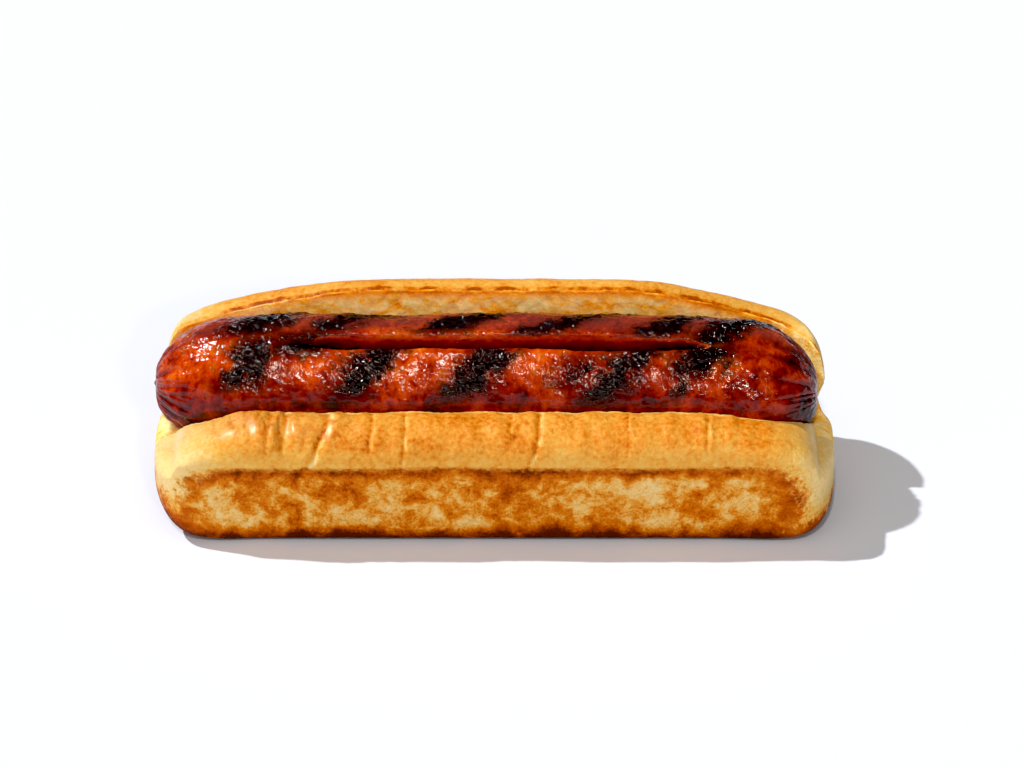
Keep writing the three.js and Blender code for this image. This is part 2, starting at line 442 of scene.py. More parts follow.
class Recipe:
    """Mixes one material from nodes. The sizes that it is given are in millimetres."""

    noise_middle: float = 0.5  # Blender's noise lies about this
    noise_gain: float = 4.0  # and is widened by this, to reach from about -1 to 1
    mix_inputs: tuple[int, int, int] = (0, 6, 7)  # a Mix node's share and its two colours
    mix_output: int = 2

    def __init__(self, name: str) -> None:
        """Starts a material that has its shader alone.

        Args:
            name: The material's name.
        """
        self.material = bpy.data.materials.new(name)
        self.material.use_nodes = True
        self.nodes = self.material.node_tree.nodes
        self.shader = self.nodes["Principled BSDF"]
        self.place = self.add("ShaderNodeTexCoord").outputs["Object"]
        split = self.add("ShaderNodeSeparateXYZ")
        self.link(self.place, split.inputs[0])
        self.x, self.y = (Value(self, split.outputs[axis]) * (1.0 / MM) for axis in "XY")

    def add(self, kind: str, **settings: str) -> bpy.types.Node:
        """Adds a node.

        Args:
            kind: Blender's name for it.
            settings: Its properties.

        Returns:
            The node.
        """
        node = self.nodes.new(kind)
        for name, value in settings.items():
            setattr(node, name, value)
        return node

    def link(self, source: bpy.types.NodeSocket, target: bpy.types.NodeSocket) -> None:
        """Joins two sockets."""
        self.material.node_tree.links.new(source, target)

    def feed(self, target: bpy.types.NodeSocket, value: Number) -> None:
        """Gives a socket its number.

        Args:
            target: The socket.
            value: The number, or the nodes that work it out.
        """
        if isinstance(value, Value):
            self.link(value.socket, target)
        else:
            target.default_value = value

    def attribute(self, name: str) -> Value:
        """Returns the number that the mesh keeps under name."""
        return Value(self, self.add("ShaderNodeAttribute", attribute_name=name).outputs["Fac"])

    def length(self, first: Number, second: Number) -> Value:
        """Works out the long side of a right triangle.

        Args:
            first: One short side.
            second: The other one.

        Returns:
            The long side.
        """
        node = self.add("ShaderNodeCombineXYZ")
        self.feed(node.inputs["X"], first)
        self.feed(node.inputs["Y"], second)
        whole = self.add("ShaderNodeVectorMath", operation="LENGTH")
        self.link(node.outputs["Vector"], whole.inputs[0])
        return Value(self, whole.outputs["Value"])

    def _stretched(self, stretch: Triple) -> bpy.types.NodeSocket:
        """Draws the place on the piece out, so that a pattern on it is longer.

        Args:
            stretch: How much longer it is along X, Y and Z.

        Returns:
            The place.
        """
        if stretch == EVEN:
            return self.place
        node = self.add("ShaderNodeMapping")
        node.inputs["Scale"].default_value = [1.0 / part for part in stretch]
        self.link(self.place, node.inputs["Vector"])
        return node.outputs["Vector"]

    def noise(self, clouds: Clouds) -> Value:
        """Adds a cloudy pattern.

        Args:
            clouds: What it looks like.

        Returns:
            The pattern, from about -1 to 1.
        """
        node = self.add("ShaderNodeTexNoise")
        self.link(self._stretched(clouds.stretch), node.inputs["Vector"])
        node.inputs["Scale"].default_value = 1.0 / (clouds.size * MM)
        node.inputs["Detail"].default_value = clouds.detail
        node.inputs["Roughness"].default_value = clouds.roughness
        node.inputs["Distortion"].default_value = clouds.bend
        return (Value(self, node.outputs["Fac"]) - self.noise_middle) * self.noise_gain

    def grains(self, kinds: type[Enum]) -> dict[str, Value]:
        """Adds every cloudy pattern of a finish.

        Args:
            kinds: The patterns, each named.

        Returns:
            The patterns by their names in small letters.
        """
        return {kind.name.lower(): self.noise(kind.value) for kind in kinds}

    def cells(self, size: float, stretch: Triple) -> Value:
        """Adds a pattern of cells.

        Args:
            size: A cell's size.
            stretch: How much longer the cells are along X, Y and Z.

        Returns:
            The distance from the nearest cell's middle, as a share of the size.
        """
        node = self.add("ShaderNodeTexVoronoi", feature="F1")
        self.link(self._stretched(stretch), node.inputs["Vector"])
        node.inputs["Scale"].default_value = 1.0 / (size * MM)
        return Value(self, node.outputs["Distance"])

    def ramp(self, value: Number, stops: Ramp) -> bpy.types.NodeSocket:
        """Turns a number into a colour.

        Args:
            value: The number.
            stops: The colours that it passes from 0 to 1.

        Returns:
            The colour.
        """
        node = self.add("ShaderNodeValToRGB")
        band = node.color_ramp
        while len(band.elements) < len(stops):
            band.elements.new(0.5)
        for stop, (where, code) in zip(band.elements, stops):
            stop.position = where
            stop.color = linear(code)
        self.feed(node.inputs["Fac"], value)
        return node.outputs["Color"]

    def blend(self, share: Number, first: Paint, second: Paint) -> bpy.types.NodeSocket:
        """Mixes two colours.

        Args:
            share: How much of the second one there is.
            first: One colour.
            second: The other one.

        Returns:
            The mix.
        """
        node = self.add("ShaderNodeMix", data_type="RGBA")
        share_input, *colour_inputs = (node.inputs[number] for number in self.mix_inputs)
        self.feed(share_input, share)
        for place, colour in zip(colour_inputs, (first, second)):
            if isinstance(colour, str):
                place.default_value = linear(colour)
            else:
                self.link(colour, place)
        return node.outputs[self.mix_output]

    def relief(self, layers: Sequence[tuple[Number, float]]) -> None:
        """Bumps the surface.

        Args:
            layers: Patterns, each with its height in millimetres.
        """
        below = None
        for pattern, height in layers:
            node = self.add("ShaderNodeBump")
            node.inputs["Distance"].default_value = height * MM
            self.feed(node.inputs["Height"], pattern)
            if below is not None:
                self.link(below, node.inputs["Normal"])
            below = node.outputs["Normal"]
        self.link(below, self.shader.inputs["Normal"])

    def settle(self, **constants: float) -> None:
        """Sets the shader's plain numbers, named as its sockets with _ for a space."""
        for name, value in constants.items():
            self.shader.inputs[name.replace("_", " ")].default_value = value


# ---- bread ---------------------------------------------------------------------------


class BreadGrain(Enum):
    """The cloudy patterns on the bread."""

    CLOUD = Clouds(16.0)
    PATCH = Clouds(6.0, 3.0, 0.55)
    MOTTLE = Clouds(1.7, 3.0, 0.6)
    DUST = Clouds(0.6, 2.0, 0.6)
    PEEL = Clouds(1.0, 1.0, 0.5)
    SPREAD = Clouds(11.0, bend=0.3)
    FLECKS = Clouds(4.2, 3.5, 0.58, bend=0.5)
    STREAKS = Clouds(2.0, 3.0, 0.6, (2.4, 1.0, 1.0), 0.4)
    WRINKLES = Clouds(2.2, 1.0, 0.4, (1.0, 3.0, 3.0), 0.3)


@dataclass(frozen=True)
class RollPlace:
    """Where each place lies on the roll, in millimetres along the skin."""

    lip: Value  # above the lip of the flat side
    cut: Value  # outside the cut edge
    foot: Value  # above the bottom edge
    inside: Value  # inside the outline of the toasted patch


@dataclass(frozen=True)
class DomeCrust:
    """The golden crust, amber towards the cut, with painted light above the lip and pale ends."""

    stops: Ramp = (
        (0.02, "E0C282"),
        (0.16, "D9BC7E"),
        (0.36, "D8AD57"),
        (0.6, "D5963A"),
        (0.82, "C77212"),
        (1.0, "954307"),
    )
    bake: Mixture = Mixture(0.57, cloud=0.08, patch=0.1, mottle=0.1, peel=0.13)
    amber_top: Band = Band(5.0, 8.0, 0.12)
    # painted light: the dome is lighter just above the lip
    painted_light_lip: Band = Band(6.0, 2.5, -0.06)
    pale_ends: Band = Band(57.0, 75.0, -0.5)  # counted from the middle
    right_half: Band = Band(0.0, 60.0, -3.0)  # the right end is pale from further out
    end_wander: Mixture = Mixture(0.0, patch=2.2)
    brown_foot: Band = Band(8.0, -1.0, 0.4)
    light_back: Band = Band(9.0, 3.0, -0.1)  # the back half is lighter near its cut
    light_from: Band = Band(0.0, 4.0)
    back: Band = Band(0.0, 6.0)
    front: Band = Band(0.0, -6.0)
    line_outside: Band = Band(1.8, 0.9)  # a brown line runs along the back half's cut edge
    line_inside: Band = Band(0.3, -0.3)
    line_tone: Mixture = Mixture(0.3, patch=0.3)
    bare_rim: Band = Band(0.9, 0.2, -0.4)  # the front half's cut edge is pale
    toast_rim: Band = Band(-1.8, 0.2, 0.35)
    toast_wander: Mixture = Mixture(0.0, dust=0.5)
    # crease: painted shade darkens the crust along each crease; tear: its torn side is paler
    creased: Mixture = Mixture(0.0, crease=0.18, tear=-0.55)

    def colour(self, mixed: Recipe, on: RollPlace, grain: dict[str, Value]) -> bpy.types.NodeSocket:
        """Mixes the crust's colour.

        Args:
            mixed: The bread's recipe.
            on: Where each place lies.
            grain: The bread's patterns.

        Returns:
            The colour.
        """
        outwards = mixed.x.size() + self.right_half.of(mixed.x) + self.end_wander.of(grain)
        bake = self.bake.of(grain) + self.pale_ends.of(outwards) + self.creased.of(grain)
        bake = bake + self.amber_top.of(on.lip) + self.painted_light_lip.of(on.lip)
        bake = bake + self.brown_foot.of(on.foot + grain["patch"])
        bake = bake + self.light_from.of(mixed.y) * self.light_back.of(on.cut)
        line = self.line_outside.of(on.cut) - self.line_inside.of(on.cut)
        bake = bake + line * self.back.of(mixed.y) * self.line_tone.of(grain)
        bake = bake + self.bare_rim.of(on.cut) * self.front.of(mixed.y)
        bake = bake + self.toast_rim.of(on.inside + self.toast_wander.of(grain))
        return mixed.ramp(bake, self.stops)


@dataclass(frozen=True)
class ButterToast:
    """The flat sides, toasted in patches, and browner along every edge."""

    stops: Ramp = (
        (0.12, "E0C282"),
        (0.32, "DCA246"),
        (0.46, "CE7A18"),
        (0.62, "BA5A0E"),
        (0.8, "933C09"),
        (1.0, "571F05"),
    )
    toast: Mixture = Mixture(0.43, spread=0.26, flecks=0.3, mottle=0.08, dust=0.13)
    rim: Band = Band(4.2, 0.8)
    rim_wander: Mixture = Mixture(0.0, patch=1.2)
    rim_tone: Mixture = Mixture(0.24, patch=0.08, ends=-0.1)
    outline: Band = Band(1.7, 0.7)
    outline_wander: Mixture = Mixture(0.0, mottle=0.3)
    outline_tone: Mixture = Mixture(0.08, ends=-0.06)
    foot: Band = Band(2.6, -2.6, 0.6)
    foot_wander: Mixture = Mixture(0.0, mottle=0.7)
    lighter_ends: float = 0.1
    evened_from: float = 0.7  # towards the ends, what is darker than this is evened out
    evened: float = 0.4

    def colour(self, mixed: Recipe, on: RollPlace, grain: dict[str, Value]) -> bpy.types.NodeSocket:
        """Mixes the toast's colour.

        Args:
            mixed: The bread's recipe.
            on: Where each place lies.
            grain: The bread's patterns.

        Returns:
            The colour.
        """
        rim = self.rim.of(on.inside + self.rim_wander.of(grain))
        outline = self.outline.of(on.inside + self.outline_wander.of(grain))
        toast = self.toast.of(grain) + rim * self.rim_tone.of(grain)
        toast = toast + outline * self.outline_tone.of(grain)
        toast = toast + self.foot.of(on.foot + self.foot_wander.of(grain))
        too_dark = (toast - self.evened_from).most(0.0)
        toast = toast - grain["ends"] * self.lighter_ends - too_dark * grain["ends"] * self.evened
        return mixed.ramp(toast, self.stops)


@dataclass(frozen=True)
class CutCrumb:
    """The cut face: cream crumb, toasted along its top edge."""

    stops: Ramp = ((0.1, "F08A1C"), (0.36, "FFB83E"), (0.8, "FFDF9C"))
    seared_stops: Ramp = ((0.2, "B04A00"), (0.5, "E88410"), (0.9, "FFB43C"))
    tone: Mixture = Mixture(0.57, patch=0.2, streaks=0.46, dust=0.14)
    seared: Band = Band(-2.4, -0.3)
    wander: Mixture = Mixture(0.0, streaks=1.2, patch=1.4)
    less_left: Band = Band(-50.0, -34.0, 0.6)  # it is seared less towards the left end
    left_share: float = 0.4
    not_right: Band = Band(70.0, 62.0)

    def colour(self, mixed: Recipe, on: RollPlace, grain: dict[str, Value]) -> bpy.types.NodeSocket:
        """Mixes the crumb's colour.

        Args:
            mixed: The bread's recipe.
            on: Where each place lies.
            grain: The bread's patterns.

        Returns:
            The colour.
        """
        tone = self.tone.of(grain)
        seared = self.seared.of(on.cut + self.wander.of(grain))
        seared = seared * (self.less_left.of(mixed.x) + self.left_share) * self.not_right.of(mixed.x)
        return mixed.blend(seared, mixed.ramp(tone, self.stops), mixed.ramp(tone, self.seared_stops))


@dataclass(frozen=True)
class BakedBread:
    """Dome crust, toasted sides, pale ends and a soft cut face."""

    crust: DomeCrust = DomeCrust()
    toast: ButterToast = ButterToast()
    crumb: CutCrumb = CutCrumb()
    burnt: Ramp = ((0.2, "954307"), (0.8, "381304"))  # the underside's edge
    burnt_tone: Mixture = Mixture(0.5, patch=0.3)
    burnt_below: Band = Band(-3.2, -4.6)
    burnt_wander: Mixture = Mixture(0.0, mottle=0.2)
    toast_end: float = 70.0  # the toasted patch ends this far from the middle
    toast_corner: float = 9.0  # and its corners have this radius
    below_lip: float = 0.9
    ends: Band = Band(60.0, 69.0)  # where the toast thins out, counted from the middle
    left: Band = Band(-40.0, -60.0)
    low: Band = Band(10.0, 1.0, 7.0)  # at the left the patch reaches further, low down
    bare_corner: float = 7.0  # at the right its lower corner is bare from this height down
    bare_from: Band = Band(50.0, 64.0)
    edge_height: float = 0.8  # everything below this is toasted
    fainter_ends: float = 0.5
    ragged: Mixture = Mixture(0.0, mottle=0.9, patch=1.2, dust=0.7)
    ragged_edge: Mixture = Mixture(0.35, ends=0.8)
    toasted: Band = Band(-0.8, 1.2)
    opened: Band = Band(0.3, -0.1)
    open_wander: Mixture = Mixture(0.0, dust=0.1)
    back: Band = Band(0.0, 6.0)
    rim_wander: Mixture = Mixture(0.1, patch=0.45)
    roughness: Mixture = Mixture(0.42, mottle=0.05)
    rougher_open: float = 0.3
    gloss: tuple[Band, Band, Band] = (Band(8.0, 12.0), Band(0.2, 1.0), Band(-10.0, -12.0))
    gloss_left: Band = Band(-28.0, -42.0, 0.85)  # the front dome shines most at its left end
    gloss_wander: Mixture = Mixture(0.0, patch=3.0)
    gloss_least: float = 0.15
    wrinkled: tuple[Band, Band] = (Band(-38.0, -50.0), Band(-70.0, -62.0))
    wrinkle_height: float = 0.42
    pores: Mixture = Mixture(0.35, toasted=0.7, opened=0.3)
    pore_height: float = 0.16
    grit: Mixture = Mixture(0.4, toasted=0.8, opened=0.3)
    grit_height: float = 0.1
    glow: Mixture = Mixture(0.2, opened=0.3)  # how much light passes into the bread
    glow_depth: float = 4.0
    glow_tint: Triple = (1.0, 0.55, 0.25)
    shine: float = 0.12
    coat_roughness: float = 0.38

    def _place(self, mixed: Recipe, grain: dict[str, Value]) -> RollPlace:
        """Works out where each place lies.

        Args:
            mixed: The bread's recipe.
            grain: The bread's patterns.

        Returns:
            Its places by the mesh's heights, with a ragged outline of the toast.
        """
        lip = mixed.attribute("above_lip")
        foot = mixed.attribute("above_foot")
        cut = mixed.attribute("before_cut") - self.back.of(mixed.y) * self.rim_wander.of(grain)
        corner = self.toast_corner
        drooping = self.low.of(foot) * self.left.of(mixed.x)
        beyond = (mixed.x.size() - drooping + corner - self.toast_end).most(0.0)
        bare = (self.bare_corner - foot) * self.bare_from.of(mixed.x)
        above = (lip + (corner - self.below_lip)).most(bare).most(0.0)
        inside = corner - mixed.length(beyond, above)
        inside = inside.most(self.edge_height - foot - grain["ends"] * self.edge_height)
        inside = inside * (1.0 - grain["ends"] * self.fainter_ends)
        inside = inside + self.ragged.of(grain) * self.ragged_edge.of(grain)
        return RollPlace(lip, cut, foot, inside)

    def _colour(self, mixed: Recipe, on: RollPlace, grain: dict[str, Value]) -> bpy.types.NodeSocket:
        """Mixes the bread's colour, with its crust, toast and crumb.

        Args:
            mixed: The bread's recipe.
            on: Where each place lies.
            grain: The bread's patterns.

        Returns:
            The colour.
        """
        crust = self.crust.colour(mixed, on, grain)
        colour = mixed.blend(grain["toasted"], crust, self.toast.colour(mixed, on, grain))
        below = self.burnt_below.of(on.foot + self.burnt_wander.of(grain))
        colour = mixed.blend(below, colour, mixed.ramp(self.burnt_tone.of(grain), self.burnt))
        return mixed.blend(grain["opened"], colour, self.crumb.colour(mixed, on, grain))

    def _gloss(self, mixed: Recipe, on: RollPlace, grain: dict[str, Value]) -> Value:
        """Works out how much the front dome shines.

        Args:
            mixed: The bread's recipe.
            on: Where each place lies.
            grain: The bread's patterns.

        Returns:
            The share, from 0 to 1.
        """
        gloss = self.gloss_left.of(mixed.x + self.gloss_wander.of(grain)) + self.gloss_least
        for band, value in zip(self.gloss, (on.lip, on.cut, mixed.y)):
            gloss = gloss * band.of(value)
        return gloss

    def make(self) -> bpy.types.Material:
        """Makes the material, which reads the roll's heights and creases.

        Returns:
            The material.
        """
        mixed = Recipe("baked_bread")
        grain = mixed.grains(BreadGrain)
        # painted shade along each crease
        grain["crease"] = mixed.attribute("crease")
        grain["tear"] = mixed.attribute("tear")
        grain["ends"] = self.ends.of(mixed.x.size())
        on = self._place(mixed, grain)
        grain["toasted"] = self.toasted.of(on.inside)
        grain["opened"] = self.opened.of(on.cut + self.open_wander.of(grain))
        mixed.link(self._colour(mixed, on, grain), mixed.shader.inputs["Base Color"])

        bare = grain["toasted"].most(grain["opened"])
        rough = self.roughness.of(grain) + bare * self.rougher_open
        mixed.feed(mixed.shader.inputs["Roughness"], rough)
        gloss = self._gloss(mixed, on, grain)
        mixed.feed(mixed.shader.inputs["Coat Weight"], gloss)
        wrinkled = grain["wrinkles"] * gloss
        for band in self.wrinkled:
            wrinkled = wrinkled * band.of(mixed.x)
        mixed.relief(
            (
                (wrinkled, self.wrinkle_height),
                (grain["mottle"] * self.pores.of(grain), self.pore_height),
                (grain["dust"] * self.grit.of(grain), self.grit_height),
            )
        )
        mixed.feed(mixed.shader.inputs["Subsurface Weight"], self.glow.of(grain))
        mixed.shader.inputs["Subsurface Radius"].default_value = self.glow_tint
        mixed.settle(Subsurface_Scale=self.glow_depth * MM)
        mixed.settle(Specular_IOR_Level=self.shine, Coat_Roughness=self.coat_roughness)
        return mixed.material


# ---- skin and floor ------------------------------------------------------------------


class SkinGrain(Enum):
    """The cloudy patterns on the sausage."""

    CLOUD = Clouds(13.0)
    PATCH = Clouds(4.5, 3.0, 0.55)
    WRINKLE = Clouds(1.9, 3.0, 0.55, bend=0.8)
    SPECKLE = Clouds(0.6, 2.0, 0.6)
    CRINKLE = Clouds(1.9, 1.0, 0.4, (0.8, 1.0, 1.3), 0.6)
    FIBRE = Clouds(1.1, 3.0, 0.6, (2.0, 1.0, 1.0))


@dataclass(frozen=True)
class GrilledSkin:
    """Greasy red-brown sausage skin with black bar marks, a bright red cut, painted shade and a painted
    sheen.

    A turn is an angle round the sausage, in degrees above level at the front.
    """

    shadow: str = "220302"
    stops: Ramp = (
        (0.04, "220302"),
        (0.26, "4F0803"),
        (0.48, "821704"),
        (0.68, "B23808"),
        (0.92, "D96719"),
    )
    # the colour of a painted sheen, a dull purplish reflection blended into the skin's top
    painted_sheen: str = "80483E"
    char: Ramp = ((0.5, "0C0202"), (0.9, "310704"))
    # the cut's red flesh, with painted shade darkening it deeper in the cut
    flesh_and_shade: Ramp = ((0.15, "B13510"), (0.45, "771005"), (1.0, "170202"))
    tone: Mixture = Mixture(0.54, cloud=0.2, patch=0.24, wrinkle=0.13, speckle=0.07, crinkle=0.08)
    bright_turn: Band = Band(20.0, 40.0, 0.1)  # the skin is brighter above these turns
    top_turn: Band = Band(66.0, 80.0, -0.1)  # and darker again above these
    # painted shade: the skin is darker low down, where the roll shades it
    shaded_low_turn: Band = Band(24.0, 4.0, -0.16)
    fold_shade_strength: float = 0.18  # how much painted shade darkens the folds and the ring round each nub
    right_fold_shade: Band = Band(40.0, 60.0, 0.2)  # the painted shade in the right tip's folds is deeper by this
    right_tip: Band = Band(64.0, 73.0, -0.12)
    painted_sheen_turn: Band = Band(72.0, 88.0, 0.28)  # painted reflection: the top is blended towards a dull sheen
    halo: Band = Band(0.1, 0.85)  # a bar mark is black within a brown halo
    halo_wander: Mixture = Mixture(0.0, patch=0.35, wrinkle=0.3)
    halo_share: float = 0.85
    burnt: Band = Band(0.28, 0.9)
    burnt_wander: Mixture = Mixture(0.0, patch=0.35, wrinkle=0.4, speckle=0.2)
    char_tone: Mixture = Mixture(0.5, wrinkle=0.3, speckle=0.15)
    opened: Band = Band(0.08, 0.3)
    flesh_tone: Mixture = Mixture(0.0, fibre=0.16, wrinkle=0.08)
    shaded_ends: Band = Band(28.0, 46.0, 0.6)  # painted shade: the cut is darker towards its narrow ends
    roughness: Mixture = Mixture(0.15, patch=0.03, burnt=-0.02)
    crinkled: Band = Band(-0.6, 0.7)  # the skin is crinkled in patches
    crinkled_turn: Band = Band(8.0, 34.0)
    even_right: Band = Band(18.0, 40.0, 0.55)
    crinkled_top: Band = Band(68.0, 76.0, 0.6)
    crinkle: Mixture = Mixture(0.14, uneven=0.86)
    crinkle_height: float = 0.12
    bead_size: float = 1.5
    bead_stretch: Triple = (1.0, 1.0, 0.8)
    bead_wander: Mixture = Mixture(0.0, wrinkle=0.06)
    bead_top: Mixture = Mixture(0.0, wrinkle=0.05, speckle=0.05)
    bead: Mixture = Mixture(0.0, burnt=1.0, halo=0.3, uneven=0.2)
    bead_height: float = 0.42
    speckle_height: float = 0.012
    shine: float = 0.32
    glow: float = 0.03
    glow_depth: float = 1.0

    def _colour(self, mixed: Recipe, turn: Value, grain: dict[str, Value]) -> bpy.types.NodeSocket:
        """Mixes the skin's colour, with its marks and its cut.

        Args:
            mixed: The skin's recipe.
            turn: The angle round the sausage.
            grain: The skin's patterns.

        Returns:
            The colour.
        """
        cut = mixed.attribute("cut")
        # painted shade in the folds' grooves and in a ring round each nub
        fold_shade = mixed.attribute("fold_shade") + mixed.attribute("knot")
        tone = self.tone.of(grain) - fold_shade * (self.right_fold_shade.of(mixed.x) + self.fold_shade_strength)
        tone = tone + self.bright_turn.of(turn) + self.top_turn.of(turn) + self.shaded_low_turn.of(turn)
        skin = mixed.ramp(tone + self.right_tip.of(mixed.x), self.stops)
        skin = mixed.blend(self.painted_sheen_turn.of(turn), skin, self.painted_sheen)
        skin = mixed.blend(grain["halo"] * self.halo_share, skin, self.shadow)
        skin = mixed.blend(grain["burnt"], skin, mixed.ramp(self.char_tone.of(grain), self.char))
        # painted shade: the flesh is darker deeper in the cut and towards its ends
        deep = cut + self.flesh_tone.of(grain) + self.shaded_ends.of(mixed.x.size())
        return mixed.blend(self.opened.of(cut), skin, mixed.ramp(deep, self.flesh_and_shade))

    def make(self) -> bpy.types.Material:
        """Makes the material, which reads the sausage's char, cut, folds and turn.

        Returns:
            The material.
        """
        mixed = Recipe("grilled_skin")
        grain = mixed.grains(SkinGrain)
        turn = mixed.attribute("turn")
        grain["halo"] = self.halo.of(mixed.attribute("scorch") + self.halo_wander.of(grain))
        grain["burnt"] = self.burnt.of(mixed.attribute("char") + self.burnt_wander.of(grain))
        mixed.link(self._colour(mixed, turn, grain), mixed.shader.inputs["Base Color"])
        mixed.feed(mixed.shader.inputs["Roughness"], self.roughness.of(grain))

        uneven = self.crinkled.of(grain["patch"]) * self.crinkled_turn.of(turn)
        uneven = uneven * (1.0 - self.even_right.of(mixed.x)) + self.crinkled_top.of(turn)
        grain["uneven"] = uneven
        hollow = mixed.cells(self.bead_size, self.bead_stretch) + self.bead_wander.of(grain)
        bead = self.bead_top.of(grain) - hollow * hollow
        mixed.relief(
            (
                (grain["crinkle"] * self.crinkle.of(grain), self.crinkle_height),
                (bead * self.bead.of(grain), self.bead_height),
                (grain["speckle"], self.speckle_height),
            )
        )
        mixed.settle(Specular_IOR_Level=self.shine, Subsurface_Weight=self.glow)
        mixed.settle(Subsurface_Scale=self.glow_depth * MM)
        return mixed.material


@dataclass(frozen=True)
class WhiteFloor:
    """Plain matt white."""

    colour: str = "D6DBE8"
    roughness: float = 0.9
    shine: float = 0.1

    def make(self) -> bpy.types.Material:
        """Makes the material.

        Returns:
            The material.
        """
        mixed = Recipe("white_floor")
        mixed.shader.inputs["Base Color"].default_value = linear(self.colour)
        mixed.settle(Roughness=self.roughness, Specular_IOR_Level=self.shine)
        return mixed.material


# ---- putting a piece in the frame ----------------------------------------------------


def settle(tube: Tube, material: bpy.types.Material, node: str, shift: Vector) -> None:
    """Puts a finished piece in the frame, in place of its solid.

    Args:
        tube: The piece, in millimetres.
        material: Its finish.
        node: The solid that it replaces.
        shift: How far the frame's origin is from the middle of the roll, in metres.
    """
    thing = tube.finish(material)
    thing.location = shift
    bpy.ops.object.transform_apply(location=True)
    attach(thing, BODY)
    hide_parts(node)
    faces = len(thing.data.polygons)
    log.info("%s replaces %s: %d faces", thing.name, node, faces)


# ---- sausage -------------------------------------------------------------------------


@dataclass(frozen=True)
class Cap:
    """One end of the sausage: where it is, how long its rounding is, how far it droops."""

    end: float
    length: float
    droop: float
    reaches: Span  # the shortest and the longest gathered fold


@dataclass(frozen=True)
class Slit:
    """A cut along the top that has opened, placed in degrees above level at the front."""

    angle: float = 65.0
    half_width: float = 7.8
    narrowest: float = 0.35  # its width at the ends, as a share of the whole
    depth: float = 4.4
    steepness: float = 1.2  # above 1, the bottom is flat
    end: Fade = Fade(32.0, 17.0, 1.6)
    lip_height: float = 0.3
    lip_place: float = 1.35  # the swollen lips' middle and width, in half widths of the cut
    lip_width: float = 0.45


@dataclass(frozen=True)
class Mark:
    """A burnt bar mark: its middle, the angles that it spans and how it leans."""

    x: float
    low: float
    high: float
    half_width: float = 4.2
    lean: float = 0.85  # how far it runs along the skin for each bit around it
    strength: float = 1.0


@dataclass(frozen=True)
class Stain:
    """How the black or the brown of a bar mark spreads past the ends of the mark."""

    below: Span  # in degrees past its low end: where it is gone and where it is full
    above: Span  # in degrees past its high end
    narrowness: float  # 1 for a stain that is as wide as the mark, and more for a narrower one
    strength: float = 1.0

    def of(self, mark: Mark, angle: np.ndarray, away: np.ndarray) -> np.ndarray:
        """Works out how dark the stain is.

        Args:
            mark: The bar mark.
            angle: The angle round the sausage of each place.
            away: How far each is from the mark's middle line, in half widths.

        Returns:
            How dark it is at each place, and 0 past the mark's ends.
        """
        return self.along(mark, angle) * self.strength * bell(away * self.narrowness)

    def along(self, mark: Mark, angle: np.ndarray) -> np.ndarray:
        """Returns 1 along the mark, and less where it ends round the sausage."""
        begins = smooth(mark.low + self.below[0], mark.low + self.below[1], angle)
        return begins * smooth(mark.high + self.above[0], mark.high + self.above[1], angle)


@dataclass(frozen=True)
class Pleats:
    """A family of gathered folds round each tip."""

    count: int
    widths: Span  # half widths in degrees
    strengths: Span
    reach: float  # as a share of the cap's own reaches


